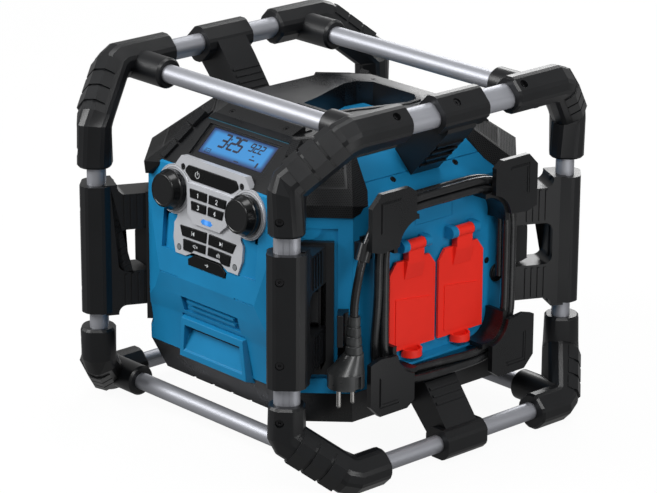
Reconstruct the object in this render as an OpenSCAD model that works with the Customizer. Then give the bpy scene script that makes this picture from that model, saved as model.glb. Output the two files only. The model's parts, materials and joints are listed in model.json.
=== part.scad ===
// Jobsite radio: an eight-sided housing hung in a cage of aluminium tubes.
// Millimetres. +Z up, front towards -Y, the cage stands on z = 0.

/* [Body] */
// Width of the body across its side panels
body_w = 310; // [302:1:318]
// Depth of the body across the creases of its front and back
body_d = 350; // [342:1:358]
// Height of the body from the underside of its tray to its top
body_h = 287; // [281:1:293]
// Height of the tray's underside above the floor
body_lift = 49; // [46:1:52]
// Cut taken off each upright corner, measured along a side
corner_cut = 62; // [58:1:66]
// Wall of the moulded housings
shell_wall = 3.5; // [3:0.5:4]
// Height of the black tray under the housings
tray_h = 37; // [33:1:41]
// Height from the tray to the crease across the front and back
crease_h = 87.5; // [84:0.5:90]
// Backward tilt of the front above the crease, in degrees
front_tilt = 5.6; // [4:0.2:7]
// Height of the sloping display front
slope_rise = 48; // [44:1:52]
// Half depth of the flat top
top_half_d = 110; // [106:1:114]
// Height of the slope at the top of each side
side_rise = 55; // [51:1:59]
// Half width of the flat top
top_half_w = 97; // [94:1:100]
// Gap at each seam between housings
seam = 0.3; // [0.2:0.1:0.5]

/* [Controls] */
// Thickness of the silver fascia
fascia_t = 3; // [2.5:0.5:4]
// How far the fascia stands proud of the front
fascia_proud = 1.8; // [1.2:0.2:2.4]
// Clearance round each button
button_gap = 0.3; // [0.2:0.1:0.5]
// Travel of each button
button_travel = 1; // [0.6:0.2:1.4]
// Height of the button caps above the fascia
button_proud = 1.4; // [1:0.2:2]
// Height of the raised middle band of the fascia
band_proud = 3.5; // [2.5:0.5:4.5]
// Radius of the knobs at their skirts
knob_r = 21.3; // [19:0.1:22]
// Height of the knobs
knob_h = 16; // [14:1:20]
// Distance of each knob from the middle
knob_x = 58; // [57:0.5:60]
// Diameter of the knob shafts
shaft_d = 6; // [5:0.5:7]
// Half width of the display window
lcd_half_w = 49.5; // [44:0.5:51]
// Height of the display window, measured up the slope
lcd_h = 32; // [28:1:32]
// Depth of the recess round the display window
lcd_recess = 3; // [2:0.5:3]

/* [Speakers] */
// How far each speaker cap stands proud of the body's corner slope
cap_proud = 2.6; // [2.4:0.2:3.4]
// Thickness of the perforated grilles
grille_t = 1.4; // [1:0.2:1.6]
// Diameter of the holes in the grilles
grille_hole = 3.2; // [2.6:0.2:3.6]
// Pitch of the holes in the grilles
grille_pitch = 5.4; // [5:0.2:7]
// Outer diameter of the four small loudspeakers
driver_d = 44; // [40:1:45]
// Outer diameter of the subwoofer
woofer_d = 132; // [124:2:140]

/* [Outlets] */
// Width of each socket cover
cover_w = 64; // [60:1:66]
// Height of each socket cover below its hinge
cover_h = 112; // [106:1:114]
// Distance of each socket from the middle of the panel
socket_y = 34.5; // [34:0.5:36]
// Thickness of the socket covers
cover_t = 3; // [2.4:0.2:3.6]
// Diameter of the round well in each socket
well_d = 40; // [38:1:42]
// Depth of the well
well_depth = 18; // [16:1:20]
// Diameter of the covers' hinge pins
pin_d = 4; // [3.5:0.5:5]
// Radial running clearance of the hinges
pin_gap = 0.06; // [0.04:0.01:0.09]
// Radius of the hinge knuckles
knuckle_r = 6.2; // [5.5:0.1:6.5]

/* [Cord] */
// Diameter of the mains cord
cord_d = 8.8; // [8:0.2:9]
// Half depth of the wound coil at its outside
coil_half_y = 100; // [98:1:101]
// Half height of the wound coil at its outside
coil_half_z = 103; // [101:1:104]
// Width and thickness of the wound bundle of four turns
bundle = 18; // [17.6:0.1:18.4]
// Radius of the corners inside the wound coil
coil_bend = 31; // [30:0.5:32]
// Height of the hook plates above the side panel
hook_reach = 26; // [25:0.5:30]
// Thickness of the hook plates
hook_t = 6; // [5:0.5:7]

/* [Cage] */
// How far inside the body's sides the upright tubes stand
post_in = 5; // [2:1:8]
// Distance of the upright tubes from the creases of the front and back
post_out = 22; // [19:1:25]
// Distance of the upper side rails from the body's sides
top_rail_out = 26; // [23:1:29]
// Height of the upper side rails above the body's top
top_rail_up = 34; // [31:1:37]
// Distance of the lower side rails from the body's sides
low_rail_out = 38; // [35:1:41]
// Height of the lower side rails
low_rail_z = 20; // [19.5:0.5:20.5]
// Long side of the flattened tubes
oval_w = 27; // [25:0.5:28]
// Short side of the flattened tubes
oval_t = 19.5; // [18:0.5:20]
// Diameter of the round lower tubes
round_d = 18.6; // [17:0.2:19.6]
// Wall of the aluminium tubes
tube_wall = 1.6; // [1.2:0.2:2]
// Clearance of the tubes in their sockets
socket_gap = 0.2; // [0.1:0.05:0.3]
// How deep the tubes sit in their sockets
tube_grip = 25; // [20:1:26]
// Distance of the elbows' flat outer face from the tube axis
elbow_out = 19.5; // [18.5:0.5:20.5]
// Half width of the elbows across that face
elbow_half = 18.5; // [18:0.5:19.5]
// Half height of the sleeves on the upright tubes
sleeve_half = 70; // [66:1:72]
// Diameter of the heads of the cage screws
cage_head_d = 8.4; // [7.6:0.2:9]
// Diameter of the shanks of the cage screws
cage_shank_d = 4; // [3.5:0.5:4.5]

/* [Battery] */
// Width of the battery pack
pack_w = 116; // [110:1:120]
// Height of the battery pack
pack_h = 66; // [60:1:70]
// Length of the battery pack, front to back
pack_l = 75; // [70:1:80]
// Thickness of the battery door
door_t = 3; // [2.6:0.2:3.4]

/* [Hidden] */
$fn = 64;
far = 600;
seat_gap = 0.3;

// Heights of the body's levels
z_tray = body_lift;
z_split = z_tray + tray_h;
z_crease = z_split + crease_h;
z_top = z_tray + body_h;
z_slope = z_top - slope_rise;
z_side = z_top - side_rise;
z_mid = z_split + 100;

// Half sizes of the body
half_w = body_w / 2;
half_d = body_d / 2;
seam_y = half_d - corner_cut;
post_x = half_w - post_in;
post_y = half_d + post_out;
top_rail_x = half_w + top_rail_out;
top_rail_z = z_top + top_rail_up;
low_rail_x = half_w + low_rail_out;
slope_y = half_d - (z_slope - z_crease) * tan(front_tilt);
slope_angle = atan2(slope_rise, slope_y - top_half_d);
slope_len = norm([slope_rise, slope_y - top_half_d]);
side_angle = atan2(side_rise, half_w - top_half_w);
corner_n = (half_w + half_d - corner_cut) / sqrt(2);

// The corner slope under each speaker cap: distance n from the axis against height
facet_run = 1.398;
facet_low = z_top - 49;
facet_n = 193 + corner_n - 189.5;
facet_tilt = atan(1 / facet_run);
under_cap = cap_proud / cos(90 - facet_tilt);
bare_n = facet_n - under_cap;
bare_low = facet_low + (bare_n - corner_n) / facet_run;
bare_top_n = bare_n - facet_run * (z_top - facet_low);

// Origin of the fascia's own frame, whose y runs up the plate and z out of it
fascia_z = z_crease + 26.5;
fascia_y = half_d - 26.5 * tan(front_tilt) + fascia_proud / cos(front_tilt);
lobe_v = 65.5;
lobe_r = 26;
board_depth = 14;

// Colours
blue = [0.05, 0.42, 0.66];
black = [0.09, 0.09, 0.1];
silver = [0.72, 0.73, 0.75];
alloy = [0.78, 0.79, 0.8];
red = [0.86, 0.16, 0.13];

// ---------------------------------------------------------------- helpers

function unit(v) = v / norm(v);
function side_of(a, b) = unit([a[1] - b[1], b[0] - a[0]]);

// An anticlockwise outline moved inwards by d
function inset(p, d) = [for (i = [0:len(p) - 1])
    let(a = p[(i + len(p) - 1) % len(p)], b = p[i], c = p[(i + 1) % len(p)],
        m = side_of(a, b), n = side_of(b, c))
    b + d * (m + n) / (1 + m * n)];

// The right half of a symmetrical outline, from bottom to top, and its mirror image
function mirrored(p) = concat(p, [for (i = [len(p) - 1:-1:0]) [-p[i][0], p[i][1]]]);

// A ring of section points at c, square to t, with the section's y towards up
function across(v, t) = unit(v - (v * t) * t);
function ring(c, t, up, sec) = let(n = across(up, t), b = cross(t, n))
    [for (q = sec) c + q[0] * b + q[1] * n];

// A ring in the plane that halves the angle between the directions d1 and d2
function mitre(c, d1, d2, up, sec) =
    let(t = unit(d1 + d2), e = unit(d2 - d1), k = 1 / (t * d1) - 1)
    [for (p = ring([0, 0, 0], t, up, sec)) c + p + k * (p * e) * e];

// Faces of a skin over rings of n points each
function skin(rings, n) = concat([[for (i = [n - 1:-1:0]) i]],
    [for (r = [0:rings - 2], i = [0:n - 1]) let(j = (i + 1) % n)
        [r * n + i, r * n + j, (r + 1) * n + j, (r + 1) * n + i]],
    [[for (i = [0:n - 1]) (rings - 1) * n + i]]);

// An eight-sided section whose corners are eased by r
function octagon(half, out, back, cut) = [[half, cut - back], [half, out - cut],
    [half - cut, out], [cut - half, out], [-half, out - cut], [-half, cut - back],
    [cut - half, -back], [half - cut, -back]];
function eased(p, r) = [for (i = [0:len(p) - 1], k = [-1, 1])
    p[i] + r * unit(p[(i + k + len(p)) % len(p)] - p[i])];

// Frame with z along t and y towards up, at c
module along(c, t, up) {
    d = unit(t);
    n = across(up, d);
    b = cross(n, d);
    multmatrix([[b[0], n[0], d[0], c[0]], [b[1], n[1], d[1], c[1]],
        [b[2], n[2], d[2], c[2]], [0, 0, 0, 1]]) children();
}

module yz_prism(p, w = far) { rotate([90, 0, 90]) linear_extrude(w, center = true) polygon(p); }
module xz_prism(p, w = far) { rotate([90, 0, 0]) linear_extrude(w, center = true) polygon(p); }

// A block between two corners
module block(a, b) { translate(a) cube(b - a); }

// A flattened section
module oval(w, t) {
    square([w - t, t], center = true);
    for (s = [-1, 1]) translate([s * (w - t) / 2, 0]) circle(d = t);
}

// The front right corner, or all four of them by mirror images
module at_corner(sx, sy) { mirror([sx, 0, 0]) mirror([0, sy, 0]) children(); }
module each_corner() { for (sx = [0, 1], sy = [0, 1]) at_corner(sx, sy) children(); }
module each_side() { for (s = [0, 1]) mirror([s, 0, 0]) children(); }

// ------------------------------------------------------------ body form

plan = [[half_w, -seam_y], [half_w, seam_y], [half_w - corner_cut, half_d],
    [corner_cut - half_w, half_d], [-half_w, seam_y], [-half_w, -seam_y],
    [corner_cut - half_w, -half_d], [half_w - corner_cut, -half_d]];
front_profile = mirrored([[half_d - 34, z_tray], [half_d - 15, z_split],
    [half_d - 11.5, z_crease - 47.5], [half_d - 3.5, z_crease - 21.5], [half_d, z_crease],
    [slope_y, z_slope], [top_half_d, z_top]]);
side_profile = mirrored([[half_w - 11, z_tray], [half_w, z_split], [half_w, z_side],
    [top_half_w, z_top]]);
corner_profile = mirrored([[corner_n - 15.5, z_tray], [corner_n, z_split],
    [corner_n, bare_low], [bare_top_n, z_top]]);
corner_prism = mirrored([[corner_n - 15.5, z_tray], [corner_n, z_split], [corner_n, z_top]]);

// The outside of the body moved inwards by d; a hollow one is open at the speaker corners
module body_form(d = 0, hollow = false) {
    intersection() {
        linear_extrude(far) polygon(inset(plan, d));
        yz_prism(inset(front_profile, d));
        xz_prism(inset(side_profile, d));
        diagonal_form(45, d, hollow);
        diagonal_form(-45, d, hollow);
    }
}
module diagonal_form(a, d, hollow) {
    rotate([0, 0, a]) xz_prism(inset(hollow ? corner_prism : corner_profile, d), 2 * far);
}
module shell() {
    difference() {
        body_form();
        body_form(shell_wall, true);
    }
}

// The frame of the fascia, of the display slope, of the right side and of its upper slope
module on_fascia() { translate([0, -fascia_y, fascia_z]) rotate([90 - front_tilt, 0, 0]) children(); }
module on_slope() { translate([0, -slope_y, z_slope]) rotate([slope_angle, 0, 0]) children(); }
module on_side() { translate([half_w, 0, z_mid]) rotate([90, 0, 90]) children(); }
module on_side_slope() {
    translate([half_w, 0, z_side]) rotate([90, 0, 90]) rotate([side_angle - 90, 0, 0]) children();
}
// The front right chamfer: x along it, y out of it, z up
module on_chamfer() {
    translate([half_w - corner_cut / 2, corner_cut / 2 - half_d, z_mid]) rotate([0, 0, -135]) children();
}
// The front right speaker facet of the bare body: x down it, y along it, z out of it
module on_facet(lift = 0) {
    m = (facet_low + z_top) / 2;
    n = bare_n - facet_run * (m - facet_low);
    rotate([0, 0, -45]) translate([n, 0, m]) rotate([0, facet_tilt, 0]) translate([0, 0, lift])
        children();
}

// ------------------------------------------------------------ body screws

panel_head_d = 6.6;
panel_head_t = 2;
panel_shank_d = 3;
panel_shank = 5;

// A screw with its head sunk 0.2 below the surface, and the hole that it fits
module panel_screw() {
    difference() {
        translate([0, 0, -panel_head_t - 0.2]) cylinder(d = panel_head_d, h = panel_head_t);
        translate([0, 0, -1.4]) cylinder(d = 3, h = 2, $fn = 6);
    }
    translate([0, 0, -panel_head_t - panel_shank]) cylinder(d = panel_shank_d, h = panel_shank);
}
module panel_hole() {
    translate([0, 0, -panel_head_t - 0.3]) cylinder(d = panel_head_d + 0.5, h = far / 60);
    translate([0, 0, -panel_head_t - panel_shank - 2]) cylinder(d = panel_shank_d + 0.4, h = panel_shank + 3);
}
module fascia_screws() {
    on_fascia() for (s = [-1, 1]) {
        translate([s * 46, 91.7, 0]) children();
        translate([s * 44, 6.8, 0]) children();
    }
}
module side_screws() {
    each_side() {
        on_side() for (y = [-77, 77]) translate([y, 0, 0]) children();
        on_side_slope() for (y = [-44, 44]) translate([y, 22, 0]) children();
    }
}
// The top rises behind the display to a low brow
brow_tilt = 21;
brow_h = 17 * tan(brow_tilt);
module top_screws() {
    for (x = [-42, 42]) {
        translate([x, 98, z_top]) children();
        translate([x, -top_half_d, z_top]) rotate([brow_tilt, 0, 0]) translate([0, 8.5, 0]) children();
    }
}
module body_screws() {
    color(black) {
        fascia_screws() panel_screw();
        side_screws() panel_screw();
        top_screws() panel_screw();
    }
}

// ------------------------------------------------------------ front

hex_power = [[-41, 88], [-31, 81], [31, 81], [41, 88], [41, 91], [37, 95.5], [-37, 95.5], [-41, 91]];
preset_1 = [[-27, 64], [-1.8, 64], [-1.8, 73], [-28.5, 73]];
preset_3 = [[-23.5, 51.5], [-1.8, 51.5], [-1.8, 60.5], [-25.5, 60.5]];
skip_back = [[-39, 20], [-2, 20.5], [-2, 31.5], [-44, 30.5]];
mute_key = [[-36, 5.5], [-24, 5.5], [-21, 9], [-2.2, 9], [-2.2, 17.7], [-37.5, 17]];
source_key = [[-29, -9], [29, -9], [30, -3], [20, 3.6], [-20, 3.6], [-30, -3]];
lamp_key = [[-9, 43], [-6, 40.4], [6, 40.4], [9, 43], [6, 45.6], [-6, 45.6]];
fascia_outline = [[-49, 0], [-33, 0], [-22, 5.6], [22, 5.6], [33, 0], [49, 0], [54, 15], [54, 31],
    [50, 37], [50, 46], [58, 88], [58, 93], [50, 103], [-50, 103], [-58, 93], [-58, 88],
    [-50, 46], [-50, 37], [-54, 31], [-54, 15]];
band_outline = [[-31, 47], [-20, 37.5], [20, 37.5], [31, 47], [35, 78], [-35, 78]];
front_window = [[-40, 1], [40, 1], [40, 18], [46.5, 18], [46.5, 33], [34, 36], [34, 77],
    [43, 79], [43, 98], [-43, 98], [-43, 79], [-34, 77], [-34, 36], [-46.5, 33],
    [-46.5, 18], [-40, 18]];
function flipped(p) = [for (i = [len(p) - 1:-1:0]) [-p[i][0], p[i][1]]];

module lobes(r) { for (s = [-1, 1]) translate([s * knob_x, lobe_v]) circle(r); }
module fascia_shape(grow = 0) {
    polygon(inset(fascia_outline, -grow));
    lobes(lobe_r + grow);
}

// Sunken shapes of the lower front, cut into a thicker part of the shell
corner_x = half_w - corner_cut;
slot_half = 45;
slot_low = z_mid - 51;
slot_high = z_mid - 34;
box_top = z_mid - 57;
box_low = z_mid - 95;
flank = 74;
module front_pockets() {
    // flanks fall away beside the foot of the fascia, as far as a wall on each side
    each_side() on_fascia() translate([0, 44, 0]) rotate([90, 0, 0]) linear_extrude(44)
        polygon([[51, -fascia_proud], [flank, -7], [flank, 9], [51, 9]]);
    // a facet leads from that wall to the corner
    each_side() translate([0, 0, z_split]) linear_extrude(z_crease - z_split + 68)
        polygon([[flank, -half_d - 0.2], [corner_x, 5.4 - half_d], [corner_x + 20, 11.2 - half_d],
            [corner_x + 20, -far], [flank, -far]]);
    // a groove along the crease
    each_side() block([44, -far, z_crease - 0.6], [flank + 0.5, 1 - half_d, z_crease + 0.6]);
    // a slot under the crease with two bars left standing in it
    difference() {
        yz_prism([[-far, slot_low], [-far, slot_high + 6], [9 - half_d, slot_high], [12 - half_d, slot_low]],
            2 * slot_half);
        for (z = [slot_low + 4, slot_low + 10.5])
            block([-37, -half_d, z], [37, 20 - half_d, z + 3]);
    }
    // the bass panel: its top leans inwards and its foot meets the front
    xz_cut = [[-50, box_low], [50, box_low], [43, box_top - 4], [-43, box_top - 4]];
    intersection() {
        xz_prism(xz_cut);
        yz_prism([[-far, box_low], [-far, box_top], [22 - half_d, box_top], [14 - half_d, box_low]]);
    }
    // the step round it
    intersection() {
        xz_prism([[-57, z_split + 3], [57, z_split + 3], [50, box_top + 2], [-50, box_top + 2]]);
        yz_prism([[-far, z_split], [-far, box_top + 2], [12.6 - half_d, box_top + 2],
            [16.5 - half_d, z_split]]);
    }
}
module chamfer_pocket() {
    on_chamfer() difference() {
        block([-28.5, -2.5, -84], [28.5, 10, 76]);
        translate([0, -5, 76]) rotate([-90, 0, 0]) cylinder(r = 12, h = 4.2);
    }
}
module fascia_pocket() {
    on_fascia() {
        translate([0, 0, -fascia_t - seat_gap]) linear_extrude(30) fascia_shape(0.35);
        translate([0, 0, -20]) linear_extrude(30) polygon(front_window);
        translate([0, 0, -20]) linear_extrude(30) polygon(inset(source_key, -button_gap));
        for (s = [-1, 1]) {
            translate([s * knob_x, lobe_v, -20]) cylinder(d = shaft_d + 3, h = 30);
            translate([s * 46, 91.7, -20]) cylinder(d = 7, h = 30);
            translate([s * 44, 6.8, -20]) cylinder(d = 7, h = 30);
        }
    }
}
panel_low = 3;
panel_high = slope_len - 8;
panel_outline = [[68 - half_w, panel_low], [half_w - 68, panel_low], [half_w - 82, panel_high],
    [82 - half_w, panel_high]];
panel_t = 2;
panel_depth = lcd_recess + 1.6;
module display_opening() {
    on_slope() {
        translate([0, 0, -panel_t - 0.2]) linear_extrude(30) polygon(inset(panel_outline, -0.3));
        translate([0, 0, -20]) linear_extrude(30) polygon(inset(panel_outline, 4));
        block([-half_w / 2, panel_high - 1, -panel_t - 0.5], [half_w / 2, slope_len, 10]);
    }
}
module front_shell() {
    color(blue) difference() {
        union() {
            intersection() {
                shell();
                block([-far, -far, z_split + seam / 2], [far, -seam_y - seam / 2, far]);
            }
            intersection() {
                body_form();
                union() {
                    block([-60, -far, z_split + seam / 2], [60, 23 - half_d, z_mid - 25]);
                    each_side() block([44, -far, z_mid - 60], [corner_x + 5, 10.5 - half_d, z_crease + 62]);
                    each_side() on_chamfer() block([-33, -6, z_split + seam / 2 - z_mid], [33, 10, 84]);
                }
            }
        }
        front_pockets();
        each_side() chamfer_pocket();
        fascia_pocket();
        display_opening();
        top_cover_zone(-seam);
    }
}

module control_fascia() {
    color(silver) difference() {
        union() {
            on_fascia() {
                translate([0, 0, -fascia_t]) linear_extrude(fascia_t) fascia_shape();
                translate([0, 0, -fascia_t]) linear_extrude(fascia_t + band_proud) polygon(band_outline);
                for (s = [-1, 1]) {
                    translate([s * 46, 91.7, seat_gap - board_depth]) cylinder(d = 6, h = board_depth - 1);
                    translate([s * 44, 6.8, seat_gap - board_depth]) cylinder(d = 6, h = board_depth - 1);
                }
            }
            // the top edge runs back to the display slope
            difference() {
                on_fascia() translate([0, 0, -8]) linear_extrude(7)
                    polygon([[-57, 89], [57, 89], [58, 93], [50, 103], [-50, 103], [-58, 93]]);
                body_form(-seat_gap);
                on_fascia() {
                    translate([0, 0, -14]) linear_extrude(14 - fascia_t) polygon(inset(hex_power, -2));
                    translate([-far, 103, -fascia_t]) rotate([200, 0, 0]) translate([0, -20, 0])
                        cube([2 * far, 20, 40]);
                }
            }
        }
        on_fascia() {
            for (p = [hex_power, preset_1, flipped(preset_1), preset_3, flipped(preset_3), skip_back,
                    flipped(skip_back), mute_key, flipped(mute_key), lamp_key, source_key])
                translate([0, 0, -20]) linear_extrude(40) polygon(inset(p, -button_gap));
            for (s = [-1, 1]) translate([s * knob_x, lobe_v, -20]) cylinder(d = shaft_d + 0.6, h = 40);
            translate([0, 0, -5 - fascia_t]) linear_extrude(5 + band_proud)
                polygon(inset(band_outline, 2.4));
        }
        fascia_screws() panel_hole();
    }
}

// A key: its cap reaches through the fascia and its flange waits behind it
module key(p, top, behind = 0) {
    on_fascia() {
        translate([0, 0, behind - fascia_t - 1.6]) linear_extrude(top + fascia_t + 1.6 - behind) polygon(p);
        translate([0, 0, behind - fascia_t - 1.6]) linear_extrude(1.3) polygon(inset(p, -1.1));
    }
}
module power_button() { color(black) key(hex_power, button_proud); }
module preset_button(n) {
    p = n == 1 ? preset_1 : n == 2 ? flipped(preset_1) : n == 3 ? preset_3 : flipped(preset_3);
    color(black) key(p, band_proud + button_proud, band_proud);
}
module previous_button() { color(black) key(skip_back, button_proud); }
module next_button() { color(black) key(flipped(skip_back), button_proud); }
module mute_button() { color(black) key(mute_key, button_proud); }
module equalizer_button() { color(black) key(flipped(mute_key), button_proud); }
module source_button() { color(black) key(source_key, -0.6, -4); }
module status_light() {
    color([0.6, 0.85, 1]) on_fascia() translate([0, 0, band_proud - 4]) {
        linear_extrude(4.4) polygon(lamp_key);
    }
}

// A knob with a plain skirt, a cone above it and its shaft below
module knob() {
    skirt = 8;
    face_r = 16.5;
    difference() {
        rotate_extrude() polygon([[0, 0], [knob_r - 0.6, 0], [knob_r, 0.6], [knob_r, skirt - 1.4],
            [knob_r - 1.2, skirt], [face_r + 1.2, knob_h - 1.2], [face_r, knob_h],
            [face_r - 1.2, knob_h], [face_r - 1.8, knob_h - 0.5], [0, knob_h - 0.5]]);
        translate([0, 0, -1]) cylinder(r = knob_r - 3, h = 4);
    }
    translate([0, 0, -board_depth + 3]) cylinder(d = shaft_d, h = board_depth + 2);
}
module knob_at(s) { on_fascia() translate([s * knob_x, lobe_v, 0.6]) knob(); }
module tuning_knob() { color(black) knob_at(-1); }
module volume_knob() { color(black) knob_at(1); }

// The control board, with the two rotary encoders that the knobs turn
board_side = knob_x + 12;
module circuit_board() {
    color([0.05, 0.3, 0.15]) on_fascia() {
        translate([0, 0, -board_depth - 1.6]) linear_extrude(1.6)
            polygon([[-48, 0], [48, 0], [48, 40], [board_side, 52], [board_side, 80], [50, 96], [-50, 96],
                [-board_side, 80], [-board_side, 52], [-48, 40]]);
        for (s = [-1, 1]) translate([s * knob_x - 6, lobe_v - 6, -board_depth]) cube([12, 12, 3.2]);
    }
}

// ------------------------------------------------------------ display

lcd_low = panel_high - 6.8 - lcd_h;
recess_side = lcd_half_w + 6.5;
module display_panel() {
    color(black) difference() {
        intersection() {
            body_form();
            panel_plate();
        }
        on_fascia() block([-52, 70, -20], [52, 96.5, 20]);
        top_cover_zone(-seam);
    }
}
module panel_plate() {
    on_slope() difference() {
        union() {
            translate([0, 0, -panel_t]) linear_extrude(panel_t) polygon(panel_outline);
            translate([0, 0, -panel_depth]) linear_extrude(panel_depth - 1)
                polygon(inset([[70.5 - half_w, 13], [half_w - 70.5, 13], panel_outline[2],
                    panel_outline[3]], 4.6));
        }
        block([-recess_side, 19, -lcd_recess], [recess_side, lcd_low + lcd_h + 1.6, 20]);
        block([-lcd_half_w, lcd_low, -20], [lcd_half_w, lcd_low + lcd_h, 20]);
    }
}
module lcd_lens() {
    color([0.35, 0.7, 0.95]) on_slope() {
        block([-lcd_half_w - 3, lcd_low - 2.5, -panel_depth - seat_gap - 2],
            [lcd_half_w + 3, lcd_low + lcd_h + 1, -panel_depth - seat_gap]);
        block([seat_gap - lcd_half_w, lcd_low + seat_gap, -panel_depth - seat_gap - 1],
            [lcd_half_w - seat_gap, lcd_low + lcd_h - seat_gap, -lcd_recess - seat_gap]);
    }
}
module lcd_module() {
    color([0.2, 0.22, 0.24]) on_slope()
        block([-lcd_half_w - 5, lcd_low - 3, -panel_depth - 2 * seat_gap - 8],
            [lcd_half_w + 5, lcd_low + lcd_h + 1, -panel_depth - 2 * seat_gap - 2]);
}

// ------------------------------------------------------------ top

cover_x = 115;
cover_low = z_side + (half_w - cover_x) * tan(side_angle);
cover_y = slope_y - (slope_len - 7) * cos(slope_angle);
recess = [[-21, -22], [21, -22], [28, 4], [40, 36], [48, 62], [46, 77], [32, 88], [-32, 88],
    [-46, 77], [-48, 62], [-40, 36], [-28, 4]];
recess_depth = 46;

module top_cover_zone(d = 0) {
    block([d - cover_x, d - cover_y, cover_low + d], [cover_x - d, cover_y - d, far]);
}
module top_cover() {
    color(black) difference() {
        union() {
            intersection() {
                shell();
                top_cover_zone();
            }
            // a skirt hangs round the recess, and a low rim stands round its mouth
            translate([0, 0, z_top - recess_depth]) linear_extrude(recess_depth) polygon(inset(recess, -3));
            translate([0, 0, z_top - 1]) linear_extrude(2.2) polygon(inset(recess, -5));
            yz_prism([[-top_half_d, z_top - 1], [-top_half_d, z_top], [17 - top_half_d, z_top + brow_h],
                [25 - top_half_d, z_top + brow_h], [30 - top_half_d, z_top - 1]], 2 * 58);
        }
        translate([0, 0, z_top - far / 2]) linear_extrude(far) polygon(recess);
        top_screws() panel_hole();
        // two notches in the brow
        for (s = [-1, 1]) translate([s * 48 - 14, 20 - top_half_d, z_top + 1.5]) cube([28, 12, 10]);
    }
}
module recess_floor() {
    color(blue) {
        translate([0, 0, z_top - recess_depth + 3]) linear_extrude(3) polygon(inset(recess, 0.4));
        translate([0, 0, z_top - recess_depth + 5]) intersection() {
            linear_extrude(40) polygon(inset(recess, 0.4));
            yz_prism([[20, 0], [88, 0], [88, 12], [78, 20], [48, 22], [30, 10]]);
            xz_prism([[-60, 0], [60, 0], [34, 22], [-34, 22]]);
        }
    }
}

// ------------------------------------------------------------ side panels

panel_seam = seam_y - seam / 2;
module side_panel() {
    intersection() {
        shell();
        block([half_w - 60, -panel_seam, z_split + seam / 2], [far, panel_seam, far]);
    }
}
module side_detail() {
    // a groove along the slope and a shallow rebate by each edge
    on_side_slope() block([-84, 26, -0.8], [84, 27, 5]);
}
hinge_z = z_mid + 45;
hinge_x = half_w + 7;
lug_half = 11.3;
lug_w = 8.5;
module hinge_line(y) { translate([hinge_x, y, hinge_z]) rotate([-90, 0, 0]) children(); }
well_z = z_mid - 22;
module outlet_panel() {
    color(blue) difference() {
        union() {
            difference() {
                side_panel();
                side_detail();
            }
            for (s = [-1, 1], k = [-1, 1]) {
                y = s * socket_y + k * (lug_half + lug_w / 2);
                hinge_line(y) cylinder(r = knuckle_r, h = lug_w, center = true);
                block([half_w - 1, y - lug_w / 2, hinge_z - knuckle_r],
                    [hinge_x, y + lug_w / 2, hinge_z + knuckle_r]);
            }
            // a sill under the covers
            ledge = z_mid - coil_half_z + bundle + 0.6;
            xz_prism([[half_w - 1, ledge - 10], [coil_x - 0.5, ledge - 10], [coil_x - 0.5, ledge],
                [half_w + 8.5, ledge], [half_w + 8.5, ledge + 2.5], [half_w - 1, ledge + 5]],
                2 * (bend_y - 5));
            // a raised frame round each socket, under its cover
            for (s = [-1, 1]) block([half_w - 1, s * socket_y - 27, well_z - 30],
                [half_w + 1.2, s * socket_y + 27, well_z + 30]);
        }
        for (s = [-1, 1]) {
            translate([half_w, s * socket_y, well_z]) rotate([0, 90, 0])
                cylinder(d = well_d + 6, h = 40, center = true);
            hinge_line(s * socket_y) cylinder(d = pin_d + 0.1, h = 2 * (lug_half + lug_w) - 3, center = true);
            hinge_line(s * socket_y) cylinder(r = knuckle_r + 1, h = 2 * lug_half, center = true);
        }
        // an empty label field
        on_side() difference() {
            block([-28, 61, -0.5], [25, 80, 5]);
            block([-27.2, 61.8, -1], [24.2, 79.2, 6]);
        }
        side_screws() panel_hole();
        top_cover_zone(-seam);
    }
}
module left_panel() {
    color(blue) difference() {
        mirror([1, 0, 0]) difference() {
            side_panel();
            side_detail();
            on_side() difference() {
                block([-76, -70, -1], [76, 60, 5]);
                block([-74, -68, -2], [74, 58, 6]);
            }
        }
        side_screws() panel_hole();
        top_cover_zone(-seam);
    }
}
module socket_inserts() {
    color(black) for (s = [-1, 1])
        translate([half_w - shell_wall - seat_gap, s * socket_y, well_z]) rotate([0, 90, 0]) difference() {
            union() {
                translate([-29, -29, -4]) cube([58, 58, 4]);
                translate([0, 0, -well_depth - 3]) cylinder(d = well_d + 5, h = well_depth + 3);
                cylinder(d = well_d + 5.4, h = shell_wall);
            }
            translate([0, 0, shell_wall - well_depth]) cylinder(d = well_d, h = well_depth + 1);
            for (k = [-1, 1]) translate([0, k * 9.5, -far / 2]) cylinder(d = 5.2, h = far);
        }
}

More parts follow.
